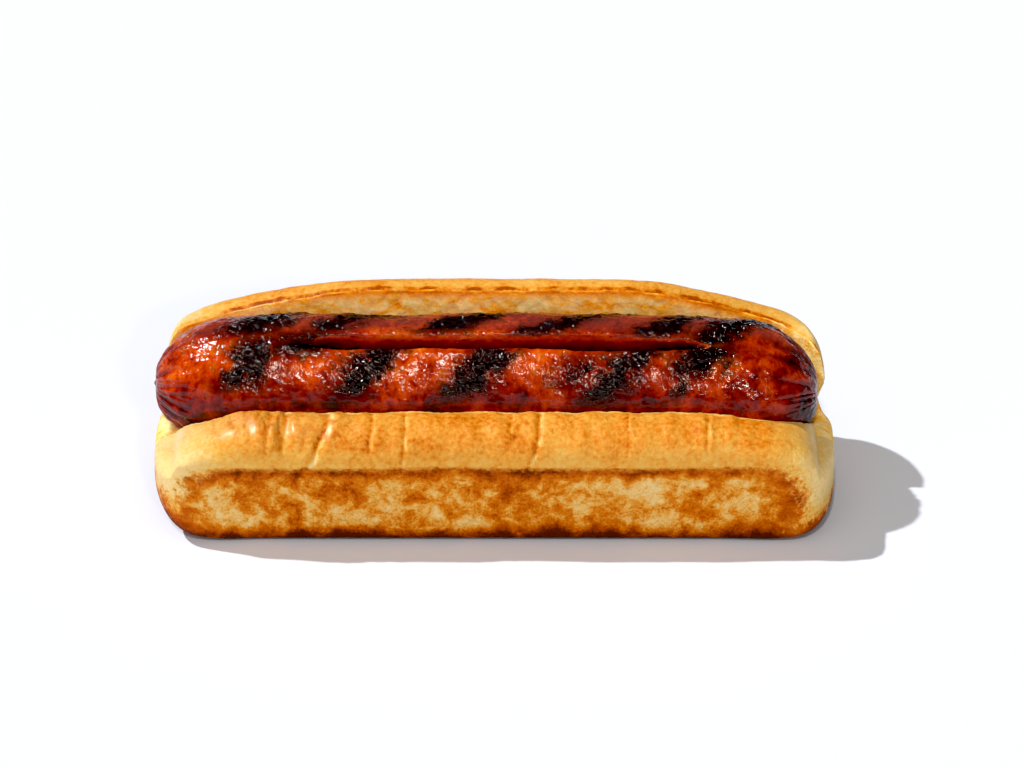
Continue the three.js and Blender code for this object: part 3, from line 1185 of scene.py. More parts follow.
@dataclass
class Sausage:
    """The frankfurter: a long bent barrel with gathered ends, scored and grilled."""

    radius: float = 15.4
    left: Cap = Cap(-78.45, 24.0, 0.6, (8.0, 17.0))
    right: Cap = Cap(74.6, 18.0, 2.8, (10.0, 20.0))
    cap_power: float = 2.12
    droop_power: float = 2.5
    axis_height: float = 27.7
    top: float = 43.1  # no lump rises above this
    slit: Slit = Slit()
    fold_seed: int = 5
    fold_depth: float = 1.05
    fold_radius: float = 6.0  # where the barrel is thinner than this, the folds are shallower
    fold_jitter: float = 0.35  # as a share of the step from fold to fold
    fold_sway: float = 0.8  # in degrees for each millimetre from the tip
    fold_full: float = 0.2  # a fold is deepest up to this share of its reach
    pleats: tuple[Pleats, ...] = (
        Pleats(17, (3.0, 6.5), (0.5, 1.0), 1.0),
        Pleats(44, (1.3, 2.4), (0.3, 0.65), 0.85),
    )
    knot: float = 1.0  # radius of the twisted nub on each tip
    knot_height: float = 0.7
    hollow: float = 0.9  # the tip is drawn in by this round the nub
    hollow_size: float = 3.0  # its radius, and about that of the nub's ring of painted shade
    # the radius of the ring of painted shade round each nub
    shade_ring_size: float = 2.6
    marks: tuple[Mark, ...] = (
        Mark(-56.0, 26.0, 66.0, 4.1, 0.36),
        Mark(-28.2, 19.0, 60.0, 3.9, 0.66),
        Mark(-4.1, 16.0, 59.0, 3.7, 0.74),
        Mark(28.6, 15.0, 59.0, 3.6, 0.9),
        Mark(47.2, 39.0, 63.0, 4.3, 0.62, 1.1),
        Mark(18.7, 29.0, 47.0, 3.2, 0.6, 0.68),
        Mark(42.6, 20.0, 29.0, 1.6, 0.6, 0.85),
        Mark(-44.0, 56.0, 72.0, 5.4, 0.2, 1.05),
        Mark(-53.2, 77.0, 150.0, 4.5, 0.8, 1.1),
        Mark(-36.0, 78.0, 150.0, 4.3, 1.3, 0.95),
        Mark(-7.8, 76.0, 150.0, 4.1, 1.3),
        Mark(16.5, 74.0, 150.0, 4.3, 1.3, 0.95),
        Mark(40.4, 74.0, 150.0, 4.3, 1.0),
        Mark(53.8, 66.0, 150.0, 4.2, 1.1, 1.05),
    )
    upper_middle: float = 92.0  # a mark above the slit is placed by this angle
    mark_wander: tuple[Grain, ...] = (Grain(21, 14.0, 0.8), Grain(22, 4.5, 0.6))
    mark_patches: Grain = Grain(23, 5.0, 0.1)
    black: Stain = Stain((-6.0, 6.0), (6.0, -6.0), 0.85, 1.12)
    brown: Stain = Stain((-16.0, 2.0), (14.0, 0.0), 0.55)
    charred_cut: Span = (-39.0, -42.0)  # to the left of this the cut is burnt too
    cut_edge: Span = (0.0, 0.15)  # the skin ends at this share of the cut's depth
    blisters: tuple[Grain, ...] = (Grain(11, 2.6, 0.05), Grain(12, 1.3, 0.03))
    lumps: tuple[Grain, ...] = (Grain(13, 22.0, 0.16), Grain(14, 8.0, 0.07))
    crust: Grain = Grain(15, 1.6, 0.1)
    crust_height: float = 0.1
    crust_span: Span = (0.3, 0.7)  # how burnt the skin is where the crust sets in
    calm_radius: float = 8.0  # where the barrel is thinner than this, all relief is lower
    cap_rings: int = 56
    body_rings: int = 190
    slit_columns: int = 30
    other_columns: int = 266
    softenings: int = 1

    def measures(self, x: np.ndarray) -> tuple[np.ndarray, np.ndarray, np.ndarray]:
        """Works out the smooth barrel at x.

        Args:
            x: Places along the roll.

        Returns:
            The height of the axis, the distance to the nearer tip and the radius.
        """
        middle = (self.left.end + self.right.end) / 2
        half = self.right.end - middle
        inset = np.maximum(0.0, half - np.abs(x - middle))
        droop = np.where(x < middle, self.left.droop, self.right.droop)
        length = np.where(x < middle, self.left.length, self.right.length)
        axis = self.axis_height - droop * (1.0 - inset / half) ** self.droop_power
        t = np.clip((length - inset) / length, 0.0, 1.0)
        radius = self.radius * (1.0 - t**self.cap_power) ** (1.0 / self.cap_power)
        return axis, inset, radius

    def _stations(self) -> np.ndarray:
        """Spaces the rings.

        Returns:
            Where they stand, close together at the tips.
        """
        turn = np.arange(1, self.cap_rings + 1) / self.cap_rings * math.pi / 2
        into = 1.0 - np.cos(turn)
        left = self.left.end + self.left.length * into
        right = self.right.end - self.right.length * into
        body = np.linspace(left[-1], right[-1], self.body_rings + 2)[1:-1]
        return np.concatenate([left, body, right[::-1]])

    def _angles(self) -> np.ndarray:
        """Spaces the columns.

        Returns:
            Their angles in degrees, close together across the slit.
        """
        low = self.slit.angle - self.slit.half_width
        high = self.slit.angle + self.slit.half_width
        across = np.linspace(low, high, self.slit_columns, endpoint=False)
        others = np.linspace(high, low + 360.0, self.other_columns, endpoint=False)
        return np.concatenate([across, others])

    def _folds(self, x: np.ndarray, angle: np.ndarray, inset: np.ndarray) -> np.ndarray:
        """Works out the gathered folds.

        Args:
            x: Places along the roll.
            angle: Angles round it.
            inset: How far each station is from the nearer tip.

        Returns:
            How deep they are at each place, as a share of the deepest.
        """
        draw = np.random.default_rng(self.fold_seed)
        deep = np.zeros(np.broadcast(x, angle).shape)
        for side, cap in ((-1, self.left), (1, self.right)):
            at_end = np.where(side * x > 0, 1.0, 0.0)
            for pleats in self.pleats:
                for number in range(pleats.count):
                    jitter = draw.uniform(-self.fold_jitter, self.fold_jitter)
                    centre = (number + jitter) * 360.0 / pleats.count
                    reach = draw.uniform(*cap.reaches) * pleats.reach
                    width = draw.uniform(*pleats.widths)
                    strength = draw.uniform(*pleats.strengths)
                    sway = draw.uniform(-self.fold_sway, self.fold_sway)
                    away = (angle - centre - sway * inset + 180.0) % 360.0 - 180.0
                    groove = bell(away / width) * smooth(reach, self.fold_full * reach, inset)
                    deep = np.maximum(deep, at_end * strength * groove)
        return deep

    def _char(self, places: np.ndarray, angle: np.ndarray) -> tuple[np.ndarray, np.ndarray]:
        """Works out the bar marks.

        Args:
            places: The vertices.
            angle: The angle round the sausage of each.

        Returns:
            How burnt the skin is, black from about a half on, and how scorched it is
            more widely about the marks.
        """
        wander = layered(self.mark_wander, places)
        patches = self.mark_patches.at(places)
        burnt = np.zeros(angle.shape)
        scorched = np.zeros(angle.shape)
        for mark in self.marks:
            middle = min((mark.low + mark.high) / 2, self.upper_middle)
            around = np.radians(angle - middle) * self.radius
            away = (places[:, 0] - mark.x - mark.lean * around + wander) / mark.half_width
            black = self.black.of(mark, angle, away) + self.black.along(mark, angle) * patches
            burnt = np.maximum(burnt, mark.strength * black)
            scorched = np.maximum(scorched, mark.strength * self.brown.of(mark, angle, away))
        return burnt, scorched

    def build(self) -> Tube:
        """Builds the mesh.

        Returns:
            The finished mesh, still in millimetres.
        """
        slit = self.slit
        x = self._stations()[:, None]
        angle = (self._angles()[None, :] + 90.0) % 360.0 - 90.0
        turn = np.radians(angle)
        axis, inset, radius = self.measures(x)
        open_share = slit.end.at(x)
        across = (angle - slit.angle) / (slit.half_width * mix(slit.narrowest, 1.0, open_share))
        cut = open_share * np.clip(slit.steepness * (1.0 - np.abs(across)), 0.0, 1.0)
        lips = open_share * bell((np.abs(across) - slit.lip_place) / slit.lip_width)
        folds = self._folds(x, angle, inset)
        gathered = self.fold_depth * folds * np.clip(radius / self.fold_radius, 0.0, 1.0)
        r = radius - gathered - slit.depth * cut + slit.lip_height * lips
        nub = self.knot_height * bell(r / self.knot)
        hollow = self.hollow * bell(r / self.hollow_size)
        outwards = np.sign(x) * (nub - hollow)
        rings = pairs(x + outwards, -np.cos(turn) * r, axis + np.sin(turn) * r)
        ends = (self.left.end, self.right.end)
        tips = np.array([[end, 0.0, self.measures(np.array(end))[0]] for end in ends])
        tube = Tube("sausage_skin", rings, tips)
        tube.soften(self.softenings)
        tube.paint("cut", tube.spread(cut))
        # painted shade: the skin is darkened in the folds' grooves and in a ring round each nub
        tube.paint("fold_shade", tube.spread(folds))
        tube.paint("knot", tube.spread(bell(r / self.shade_ring_size)))
        tube.paint("turn", tube.spread(angle))
        self._grill(tube, tube.spread(angle), tube.spread(cut), tube.spread(radius))
        return tube

    def _grill(self, tube: Tube, angle: np.ndarray, cut: np.ndarray, radius: np.ndarray) -> None:
        """Raises the skin's lumps, its blisters and the crust of its marks.

        Args:
            tube: The smooth sausage.
            angle: The angle round the sausage of each vertex.
            cut: How far each is in the cut, from 0 to 1.
            radius: The barrel's radius there.
        """
        places = tube.read("co", 3)
        char, scorch = self._char(places, angle)
        whole = 1.0 - smooth(*self.cut_edge, cut)
        blisters = layered(self.blisters, places)
        crust = smooth(*self.crust_span, char) * (self.crust_height + self.crust.at(places))
        calm = np.clip(radius / self.calm_radius, 0.0, 1.0)
        height = calm * (layered(self.lumps, places) + whole * (blisters + crust))
        tube.push(np.minimum(height, self.top - places[:, 2]))
        burnable = np.maximum(whole, smooth(*self.charred_cut, places[:, 0]))
        tube.paint("char", char * burnable)
        tube.paint("scorch", scorch * whole)

    def dress(self, tube: Tube, shift: Vector) -> None:
        """Gives the mesh its skin and puts it in the frame, shift from its origin."""
        settle(tube, GrilledSkin().make(), "sausage", shift)


# ---- roll ----------------------------------------------------------------------------


@dataclass(frozen=True)
class HalfShape:
    """What tells the front half of the roll from the back half."""

    side: int  # -1 at the front, 1 at the back
    rim_height: float
    rim_sag: float  # the cut edge lies this much below the highest crust
    rim_ends: tuple[Fade, Fade]  # left and right
    arches: Span  # the share of its height that the rim loses, left and right
    crown: float  # the half is highest at this share of its thickness
    flat_height: float
    flat_end: Fade
    plan: Fade
    counts: tuple[int, ...]  # points on the bottom, edge, side, lip, dome, crown, wall and floor


class Half(Enum):
    """The roll's halves: the front has sunk outwards, and the back stands up."""

    FRONT = HalfShape(
        side=-1,
        rim_height=29.3,
        rim_sag=0.2,
        rim_ends=(Fade(45.0, 28.0, 2.2), Fade(34.0, 39.5, 2.5)),
        arches=(0.0, 0.0),
        crown=0.2,
        flat_height=16.0,
        flat_end=Fade(56.0, 22.2, 2.4),
        plan=Fade(67.5, 10.7, 2.3),
        counts=(4, 6, 30, 8, 60, 10, 14, 10),
    )
    BACK = HalfShape(
        side=1,
        rim_height=42.8,
        rim_sag=0.7,
        rim_ends=(Fade(72.3, 4.9, 2.2), Fade(72.3, 4.9, 2.2)),
        arches=(0.32, 0.39),
        crown=0.32,
        flat_height=21.5,
        flat_end=Fade(52.0, 26.2, 2.2),
        plan=Fade(63.0, 15.2, 2.3),
        counts=(4, 6, 16, 6, 36, 12, 26, 10),
    )


@dataclass(frozen=True)
class Stations:
    """The measures that both halves share, each for every station."""

    x: np.ndarray
    axis: np.ndarray  # height of the sausage's axis
    snug: np.ndarray  # radius of the hollow that it lies in
    opened: np.ndarray  # height of the slice's floor where no sausage lies on it
    base: np.ndarray  # height of the underside
    floor: np.ndarray
    body: np.ndarray  # 1 along the body, and 0 at the tips


@dataclass(frozen=True)
class Crease:
    """A crease down the front crust: x at the cut edge, x at the lip, depth, half width."""

    rim: float
    lip: float
    depth: float
    width: float
    start: float = 0.0  # the share of the way from lip to cut where it starts
    fade: float = 0.15
    draw: float = 0.6  # how far its groove is drawn in, as a share of the depth
    inner: float = 2.4  # the groove in its middle is narrower by this
    ridge: float = 0.3  # the height of the ridges beside it, as a share of the groove
    ridge_place: float = 1.7  # their middle, in half widths
    ridge_inner: float = 1.4
    shade_line: Span = (-0.35, 0.5)  # middle and width of its line of painted shade, in half widths
    pale: Span = (0.55, 0.4)  # and of its pale torn side
    full: float = 0.5  # from this depth on these are at full strength

    def away(self, x: np.ndarray, rise: np.ndarray) -> np.ndarray:
        """Returns how many half widths each x is from it, at rise of the way up."""
        return (x - mix(self.lip, self.rim, rise)) / self.width

    def present(self, rise: np.ndarray) -> Measure:
        """Returns 1 along the crease, and 0 below where it starts."""
        return smooth(self.start - self.fade, self.start + self.fade, rise) if self.start > 0 else 1.0

    def drawn(self, away: np.ndarray) -> np.ndarray:
        """Works out the form: a broad groove with a narrow one in it, between ridges.

        Args:
            away: Half widths from its middle.

        Returns:
            How far the crust is drawn in.
        """
        groove = 0.5 * (bell(away) + bell(away * self.inner))
        ridges = self.ridge * bell((np.abs(away) - self.ridge_place) * self.ridge_inner)
        return self.draw * self.depth * (groove - ridges)

    def line(self, away: np.ndarray, place: Span) -> np.ndarray:
        """Returns how strong the line with that middle and width is at away."""
        return min(1.0, self.depth / self.full) * bell((away - place[0]) / place[1])


@dataclass(frozen=True)
class Swell:
    """A slow wave in the sides of the roll, the product of two waves.

    Each of those has its turn in radians for a millimetre along X, Y and Z, and at 0.
    """

    height: float
    first: tuple[float, float, float, float]
    second: tuple[float, float, float, float]

    def at(self, places: np.ndarray) -> np.ndarray:
        """Returns its height at places."""
        first, second = (places @ np.array(wave[:3]) + wave[3] for wave in (self.first, self.second))
        return self.height * np.sin(first) * np.cos(second)


@dataclass(frozen=True)
class Zones:
    """From where to where each part of the roll's skin fades in, in millimetres."""

    dome_lip: Span = (-0.3, 1.0)  # above the lip
    dome_cut: Span = (-0.3, 0.6)  # outside the cut edge
    dome_foot: Span = (0.0, 0.5)  # above the bottom edge
    side_lip: Span = (0.4, -0.4)
    side_foot: Span = (-0.5, 1.0)
    side_ends: Span = (72.0, 68.0)  # from the middle
    crumb_cut: Span = (0.2, -0.6)
    crumb_ends: Span = (74.0, 60.0)
    creased: Span = (-16.0, -17.5)  # by y
    upper: Span = (-10.0, -14.0)
    upper_height: Span = (22.0, 27.5)
    ragged_height: Span = (0.0, 6.0)  # above the slice's floor


@dataclass
class Roll:
    """The top-sliced roll: flat sides, a dome crust and a slice that the sausage fills."""

    sausage: Sausage
    half_length: float = 78.1
    half_depth: float = 27.2
    side_lean: float = 1.0
    side_bend: float = 0.2  # the side's top leans back by this share of the lip's overhang
    base_lift: Span = (10.5, 6.5)
    base_end: Fade = Fade(60.0, 18.2, 2.0)
    base_edge: float = 3.2
    edge_share: float = 0.4  # the bottom edge takes up no more of the half's width than this
    edge_fade: float = 12.0  # where the half is lower than this, the bottom edge is smaller
    lip_over: float = 0.8
    lip_round: float = 1.9
    lip_span: Span = (76.0, 48.0)  # the lip fades in from one to the other
    lip_fade: float = 20.0  # where the half is lower than this, the lip is lower too
    least_side: float = 0.3
    sag_fade: float = 12.0  # where the rim is less above the slice's floor, it sags less
    rim_round: float = 0.7
    rim_share: float = 0.15  # the cut edge's rounding takes up no more of the width than this
    slot_share: float = 0.7  # the slice is no wider than this share of the half
    dome_power: float = 2.15
    tip_y: float = -7.0
    tip_height: float = 14.5
    slice_floor: float = 17.8
    floor_end: Fade = Fade(73.0, 5.2, 2.0)
    slice_width: float = 6.5
    width_end: Fade = Fade(72.0, 6.2, 3.0)
    clearances: Span = (0.4, 0.9)  # round the sausage, along and at the ends
    clearance_span: Span = (64.0, 74.0)
    foot_span: Span = (68.0, 76.0)  # beyond it, the foot's height is counted straight up
    arch: Span = (28.0, 82.0)
    even_part: float = 62.0
    end_rings: int = 48
    end_turn: float = 0.98  # the last ring stands this far round the tip's quarter turn
    body_rings: int = 281
    softenings: int = 3
    creases: tuple[Crease, ...] = (
        Crease(-37.5, -43.5, 0.8, 1.3),
        Crease(-20.0, -21.0, 0.4, 0.7),
        Crease(10.5, 7.5, 0.5, 0.8),
        Crease(-50.5, -52.5, 0.3, 0.9, 0.45),
        Crease(-47.0, -49.0, 0.22, 0.7, 0.5),
        Crease(-27.5, -29.0, 0.3, 0.9, 0.5),
        Crease(4.0, 2.0, 0.25, 0.8, 0.5),
        Crease(30.5, 29.5, 0.2, 0.8, 0.4),
        Crease(48.5, 47.5, 0.4, 0.7, 0.55),
    )
    crease_sway: Grain = Grain(34, 7.0, 0.14)
    torn_span: Span = (-0.6, 0.6)  # the creases are torn where the middling grain is high
    zones: Zones = Zones()
    fine: Grain = Grain(31, 1.5)
    middling: Grain = Grain(32, 3.2)
    coarse: Grain = Grain(33, 8.0)
    pores: Mixture = Mixture(-0.7, fine=1.0, middling=0.6)
    deepest_pore: float = 2.0
    dome_relief: Mixture = Mixture(0.0, coarse=0.06, middling=0.02)
    side_relief: Mixture = Mixture(0.0, coarse=0.06, middling=0.04, pores=-0.13)
    torn_crumb: Mixture = Mixture(0.2, coarse=0.12, middling=0.16, fine=0.1)
    deepest_tear: float = 0.8
    ragged_rim: Mixture = Mixture(-0.1, fine=0.06, coarse=0.14)
    ragged_limits: Span = (-0.3, 0.2)
    ragged_width: float = 0.8
    puckers: Grain = Grain(35, 4.4, 0.38, (1.0, 4.0, 4.0), (-1.6, 1.2))
    pucker_least: float = 0.35  # the share of their height that is left at the right
    pucker_spans: tuple[Span, Span, Span] = ((-30.0, -42.0), (-60.0, -48.0), (72.0, 62.0))
    blobs: Grain = Grain(36, 6.0, 0.12, limits=(-1.2, 1.6))
    blob_span: Span = (-46.0, -53.0)
    bulge_x: float = -56.0  # the front dome is fuller here, by a millimetre
    bulge_width: float = 5.2
    swells: tuple[Swell, ...] = (
        Swell(0.26, (1 / 9.5, 0.0, 0.12, 0.0), (0.0, 1 / 8.0, 0.0, 1.0)),
        Swell(0.2, (1 / 4.7, 1 / 6.0, 0.0, 2.2), (0.0, 0.0, 1 / 7.0, 0.0)),
    )
    swell_outside: Span = (0.62, 0.95)  # shares of the half's depth
    swell_above: Span = (0.5, 6.0)
    valleys: Span = (0.8, 3.4)  # how far the ends are drawn in where the halves meet
    valley_point: Span = (5.5, 19.2)  # y and z of a point on the line where they meet
    valley_slope: float = 0.58
    valley_width: float = 3.3
    valley_behind: Span = (-1.0, 2.75)
    valley_start: float = 72.0

    def _shared(self, x: np.ndarray) -> Stations:
        """Works out the measures that both halves share.

        Args:
            x: The stations.

        Returns:
            The measures, for each station.
        """
        axis, inset, radius = self.sausage.measures(x)
        snug = radius + mix(*self.clearances, smooth(*self.clearance_span, np.abs(x)))
        opened = mix(self.tip_height, self.slice_floor, self.floor_end.at(x))
        base = np.where(x < 0, *self.base_lift) * (1.0 - self.base_end.at(x))
        floor = np.where(inset > 0, np.minimum(opened, axis - snug), opened)
        return Stations(x, axis, snug, opened, base, floor, self.width_end.at(x))

    def _half(self, half: HalfShape, on: Stations) -> tuple[np.ndarray, np.ndarray]:
        """Works out one half section for every station.

        Args:
            half: The half's own form.
            on: The measures that both halves share.

        Returns:
            Points (y counted outwards, z), and for each its heights above the lip,
            before the cut edge and above the foot, counted along the skin.
        """
        x, base, floor = on.x, on.base, on.floor
        tip = half.side * self.tip_y
        middle = mix(tip, 0.0, on.body)
        arch = np.where(x < 0, *half.arches) * smooth(*self.arch, np.abs(x))
        rim_end = np.where(x < 0, half.rim_ends[0].at(x), half.rim_ends[1].at(x))
        rim = mix(on.opened, half.rim_height, (1.0 - arch) * rim_end)
        outer = mix(tip, self.half_depth, half.plan.at(x))
        under = np.maximum(0.0, on.axis - rim)
        hollow = np.sqrt(np.maximum(0.0, on.snug**2 - under**2))
        beside = np.where(under < on.snug, hollow, tip)
        slot = np.minimum(mix(tip, self.slice_width, on.body), mix(middle, outer, self.slot_share))
        inner = np.maximum(slot, beside)

        scale = np.clip((rim - base) / self.lip_fade, 0.0, 1.0)
        edge = self.base_edge * np.clip((rim - base) / self.edge_fade, 0.0, 1.0)
        edge = np.minimum(edge, self.edge_share * (outer - middle))
        lipped = smooth(*self.lip_span, np.abs(x))
        over = self.lip_over * lipped
        foot = outer - self.side_lean * lipped
        side_height = mix(self.least_side, half.flat_height, half.flat_end.at(x))
        lip = base + edge + side_height * scale
        rounding = np.minimum(self.rim_round, self.rim_share * (outer - inner))
        sag = half.rim_sag * smooth(0.0, self.sag_fade, rim - floor)
        bulge = pairs(outer + over, lip + self.lip_round * scale)
        crown = pairs(mix(inner, bulge[:, 0], half.crown), rim)
        shoulder = pairs(inner + rounding, rim - sag)
        rounded = shoulder[:, 1] - rounding * np.clip(rim - floor, 0.0, 1.0)
        knee = np.minimum(rounded, np.maximum(floor, on.axis))
        side = pairs(outer - self.side_bend * over, lip)
        tuck = pairs(side[:, 0], mix(lip, bulge[:, 1], 0.5))

        chain = Chain()
        counts = iter(half.counts)
        bottom = (pairs(foot - edge, base), pairs(foot, base + edge))
        chain.line(pairs(middle, base), bottom[0], next(counts))
        chain.corner(bottom, pairs(foot, base), next(counts))
        chain.mark("foot")
        chain.line(bottom[1], side, next(counts))
        chain.mark("lip")
        chain.corner((side, bulge), tuck, next(counts))
        chain.corner((bulge, crown), pairs(bulge[:, 0], rim), next(counts), self.dome_power)
        chain.line(crown, shoulder, next(counts))
        chain.mark("cut")
        chain.line(shoulder, pairs(inner, knee), next(counts))
        slice_ends = (pairs(inner, knee), pairs(middle, floor))
        chain.corner(slice_ends, pairs(inner, floor), next(counts))
        points = chain.points()
        steps = np.linalg.norm(np.diff(points, axis=1), axis=2)
        run = np.concatenate([np.zeros((len(x), 1)), np.cumsum(steps, axis=1)], axis=1)
        foot_run, lip_run, cut_run = (run[:, [chain.marks[name]]] for name in ("foot", "lip", "cut"))
        raised = points[..., 1] - (base + edge)[:, None]
        above_foot = mix(run - foot_run, raised, smooth(*self.foot_span, np.abs(x))[:, None])
        return points, pairs(run - lip_run, cut_run - run, above_foot)

    def _stations(self) -> np.ndarray:
        """Spaces the sections.

        Returns:
            Where they stand: evenly along the body, and closer to the tips.
        """
        share = np.arange(1, self.end_rings + 1) / self.end_rings
        turn = share * self.end_turn * math.pi / 2
        ends = mix(self.even_part, self.half_length, np.sin(turn))
        body = np.linspace(-self.even_part, self.even_part, self.body_rings)
        return np.concatenate([-ends[::-1], body, ends])

    def _creased(self, x: np.ndarray, z: np.ndarray) -> tuple[np.ndarray, ...]:
        """Works out the creases in the front crust.

        Args:
            x: Where each vertex is along the roll.
            z: Its height.

        Returns:
            How far the crust is drawn in, how strong the painted shade along a crease's groove
            is and how much it shows the pale torn side of one.
        """
        low = self.base_edge + Half.FRONT.value.flat_height
        rise = np.clip((z - low) / (Half.FRONT.value.rim_height - low), 0.0, 1.0)
        drawn = np.zeros(x.shape)
        deep = np.zeros(x.shape)
        torn = np.zeros(x.shape)
        for crease in self.creases:
            away = crease.away(x, rise)
            present = crease.present(rise)
            drawn += present * crease.drawn(away)
            deep += present * crease.line(away, crease.shade_line)
            torn += present * crease.line(away, crease.pale)
        return drawn, deep, torn

    def _baked(self, points: np.ndarray, on: Stations) -> np.ndarray:
        """Adds slow swells to the sides, and draws in the ends where the halves meet.

        Args:
            points: The sections' y and z.
            on: The measures of each station.

        Returns:
            The sections' places, with x, y and z.
        """
        x, base, body = (part[:, None] for part in (on.x, on.base, on.body))
        y, z = points[..., 0], points[..., 1]
        outside = smooth(*self.swell_outside, np.abs(y) / self.half_depth)
        outside *= smooth(*self.swell_above, z - base) * body
        swell = sum(wave.at(pairs(x, y, z)) for wave in self.swells)
        valley_y, valley_z = self.valley_point
        above = z - valley_z + self.valley_slope * (y - valley_y)
        valley = bell(above / self.valley_width) * smooth(*self.valley_behind, y)
        at_end = smooth(self.valley_start, self.half_length, np.abs(x))
        inward = np.where(x < 0, *self.valleys) * valley * at_end
        return pairs(x - np.sign(x) * inward, y + np.sign(y) * swell * outside, z)

    def build(self) -> Tube:
        """Builds the mesh.

        Returns:
            The finished mesh, still in millimetres.
        """
        on = self._shared(self._stations())
        front, front_heights = self._half(Half.FRONT.value, on)
        back, back_heights = self._half(Half.BACK.value, on)
        front[..., 0] *= -1.0
        floor = pairs(mix(self.tip_y, 0.0, on.body), on.floor)[:, None, :]
        section = np.concatenate([front, floor, back[:, :0:-1]], axis=1)
        heights = np.concatenate([front_heights, front_heights[:, -1:], back_heights[:, :0:-1]], axis=1)
        tips = np.array(
            [
                [side * self.half_length, self.tip_y, mix(lift, self.tip_height, 0.5)]
                for side, lift in zip((-1.0, 1.0), self.base_lift)
            ]
        )
        tube = Tube("roll_bread", self._baked(section, on), tips)
        tube.soften(self.softenings)
        above_lip, before_cut, above_foot = (tube.spread(heights[..., i]) for i in range(3))
        tube.paint("above_lip", above_lip)
        tube.paint("before_cut", before_cut)
        tube.paint("above_foot", above_foot)
        self._relief(tube, above_lip, before_cut, above_foot)
        return tube

    def _relief(
        self, tube: Tube, above_lip: np.ndarray, before_cut: np.ndarray, above_foot: np.ndarray
    ) -> None:
        """Shapes the skin: creases, toasted pores, torn crumb and a ragged cut edge.

        Args:
            tube: The smooth roll.
            above_lip: How far each vertex is above the lip, along the skin.
            before_cut: How far it is outside the cut edge.
            above_foot: How far it is above the bottom edge.
        """
        places = tube.read("co", 3)
        x, y, z = places.T
        zones = self.zones
        dome = smooth(*zones.dome_lip, above_lip) * smooth(*zones.dome_cut, before_cut)
        side = smooth(*zones.side_lip, above_lip) * smooth(*zones.side_foot, above_foot)
        side *= smooth(*zones.side_ends, np.abs(x))
        crumb = smooth(*zones.crumb_cut, before_cut) * smooth(*zones.crumb_ends, np.abs(x))
        fields = {"fine": self.fine, "middling": self.middling, "coarse": self.coarse}
        grain = {name: field.at(places) for name, field in fields.items()}
        grain["pores"] = np.clip(self.pores.of(grain), 0.0, self.deepest_pore)
        height = dome * self.dome_relief.of(grain) * smooth(*zones.dome_foot, above_foot)
        height += side * self.side_relief.of(grain)
        height -= crumb * np.clip(self.torn_crumb.of(grain), 0.0, self.deepest_tear)

        drawn, deep, torn = self._creased(x + self.crease_sway.at(places), z)
        front = dome * smooth(*zones.creased, y) * self.width_end.at(x)
        height -= front * drawn
        # painted shade along each crease's groove, which darkens the crust
        tube.paint("crease", front * deep)
        tube.paint("tear", front * torn * smooth(*self.torn_span, grain["middling"]))

        to_left, from_tip, to_right = self.pucker_spans
        puckered = mix(self.pucker_least, 1.0, smooth(*to_left, x))
        puckered *= smooth(*to_right, np.abs(x)) * smooth(*from_tip, x)
        lumps = puckered * self.puckers.at(places) + smooth(*self.blob_span, x) * self.blobs.at(places)
        bulge = bell((x - self.bulge_x) / self.bulge_width)
        upper = dome * smooth(*zones.upper, y) * smooth(*zones.upper_height, z)
        height += upper * (lumps + bulge)
        ragged = smooth(*zones.ragged_height, z - self.slice_floor)
        ragged *= bell(before_cut / self.ragged_width)
        height += ragged * np.clip(self.ragged_rim.of(grain), *self.ragged_limits)
        tube.push(height)

    def dress(self, tube: Tube, shift: Vector) -> None:
        """Gives the mesh its crust and puts it in the frame, shift from its origin."""
        settle(tube, BakedBread().make(), "roll", shift)


# ---- studio --------------------------------------------------------------------------


@dataclass(frozen=True)
class Sun:
    """A far lamp: where it is seen, how strong it is and how wide its disc is."""

    azimuth: float  # degrees from the left end towards the back, and so minus towards the front
    elevation: float
    strength: float
    spread: float
    tint: Triple = (1.0, 1.0, 1.0)
    mirrored: bool = True  # whether shiny skin shows it

    def hang(self, name: str) -> None:
        """Adds the lamp, turned towards the roll.

        Args:
            name: The lamp's name.
        """
        up, round_back = math.radians(self.elevation), math.radians(self.azimuth)
        level = math.cos(up)
        towards = Vector((-level * math.cos(round_back), level * math.sin(round_back), math.sin(up)))
        bpy.ops.object.light_add(type="SUN", location=towards)
        lamp = bpy.context.object
        lamp.name = name
        lamp.rotation_euler = towards.to_track_quat("Z", "Y").to_euler()
        lamp.visible_glossy = self.mirrored
        lamp.data.energy = self.strength
        lamp.data.color = self.tint
        lamp.data.angle = math.radians(self.spread)


class Lamp(Enum):
    """The lamps: a key light, a broad soft front light and small ones that give glints."""

    KEY = Sun(19.0, 50.0, 3.5, 1.4)
    FRONT = Sun(-88.0, 42.0, 1.02, 100.0, (1.0, 0.96, 0.9), False)
    HIGH_GLINT = Sun(-84.0, 48.0, 1.08, 3.0, (1.0, 0.88, 0.72))
    LOW_GLINT = Sun(-104.0, 28.0, 0.45, 3.0, (1.0, 0.93, 0.85))


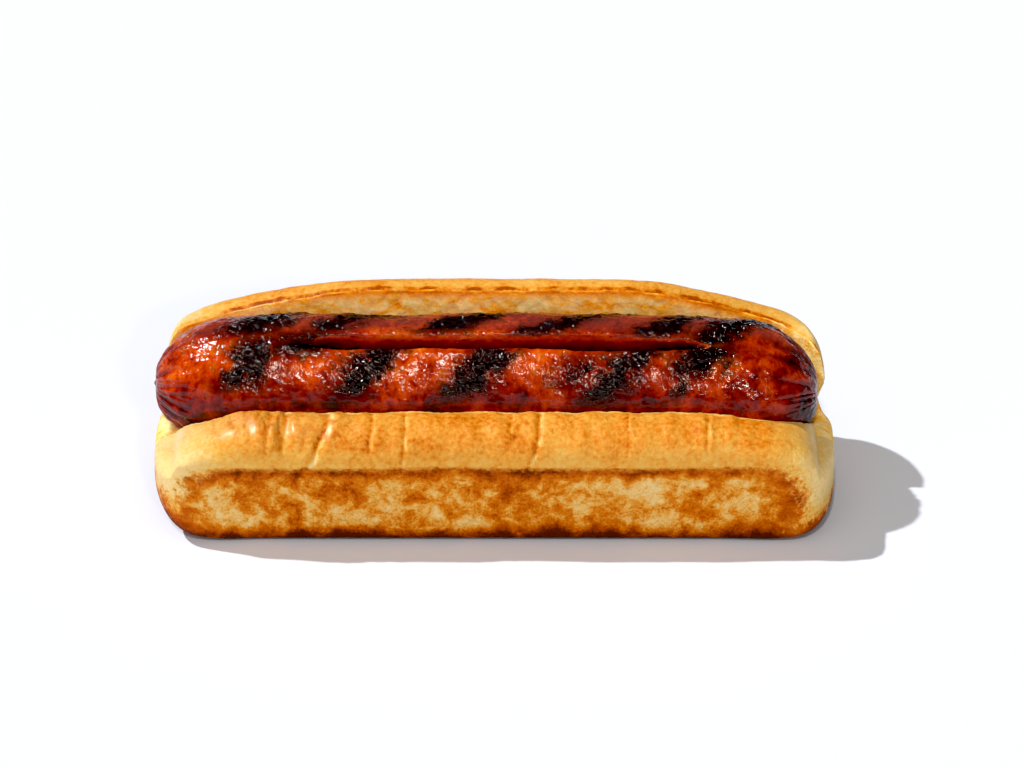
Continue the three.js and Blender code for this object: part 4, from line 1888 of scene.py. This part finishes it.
@dataclass
class Studio:
    """A white floor, the lamps, dim white surroundings and the camera."""

    aim: Triple = (4.10 * MM, -0.04 * MM, 26.83 * MM)
    distance: float = 1.03
    elevation: float = 30.0
    lens: float = 157.4
    sensor: float = 36.0
    surroundings: Triple = (0.075, 0.08, 0.09)
    floor_size: float = 6.0
    floor_gap: float = 0.05 * MM
    black: float = 0.009

    def camera(self) -> None:
        """Adds the camera, level from side to side and looking down at the front."""
        tilt = math.radians(self.elevation)
        back = Vector((0.0, -math.cos(tilt), math.sin(tilt)))
        bpy.ops.object.camera_add(
            location=Vector(self.aim) + back * self.distance,
            rotation=(math.pi / 2 - tilt, 0.0, 0.0),
        )
        camera = bpy.context.object
        camera.data.lens = self.lens
        camera.data.sensor_width = self.sensor
        bpy.context.scene.camera = camera

    def lights(self) -> None:
        """Adds the lamps and the dim surroundings."""
        for lamp in Lamp:
            lamp.value.hang(lamp.name.lower())
        world = bpy.data.worlds.new("surroundings")
        world.use_nodes = True
        world.node_tree.nodes["Background"].inputs["Color"].default_value = (*self.surroundings, 1.0)
        bpy.context.scene.world = world

    def floor(self) -> None:
        """Adds the floor just under the roll."""
        bpy.ops.mesh.primitive_plane_add(size=self.floor_size, location=(0.0, 0.0, -self.floor_gap))
        floor = bpy.context.object
        floor.name = "floor"
        floor.data.materials.append(WhiteFloor().make())

    def build(self) -> None:
        """Sets up the floor, the lights, the camera and plain display colours."""
        self.floor()
        self.lights()
        self.camera()
        display = bpy.context.scene.view_settings
        display.view_transform = "Standard"
        display.use_curve_mapping = True
        display.curve_mapping.black_level = [self.black] * 3


# ---- assembly ------------------------------------------------------------------------


def main() -> None:
    """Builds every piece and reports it."""
    logging.basicConfig(level=logging.INFO, format="%(message)s")
    low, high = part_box("roll")
    shift = Vector(((low.x + high.x) / 2, (low.y + high.y) / 2, 0.0))
    sausage = Sausage()
    roll = Roll(sausage)
    sausage.dress(sausage.build(), shift)
    roll.dress(roll.build(), shift)
    Studio().build()
    log.info("studio: floor, lamps, surroundings and camera")


if __name__ == "__main__":
    main()
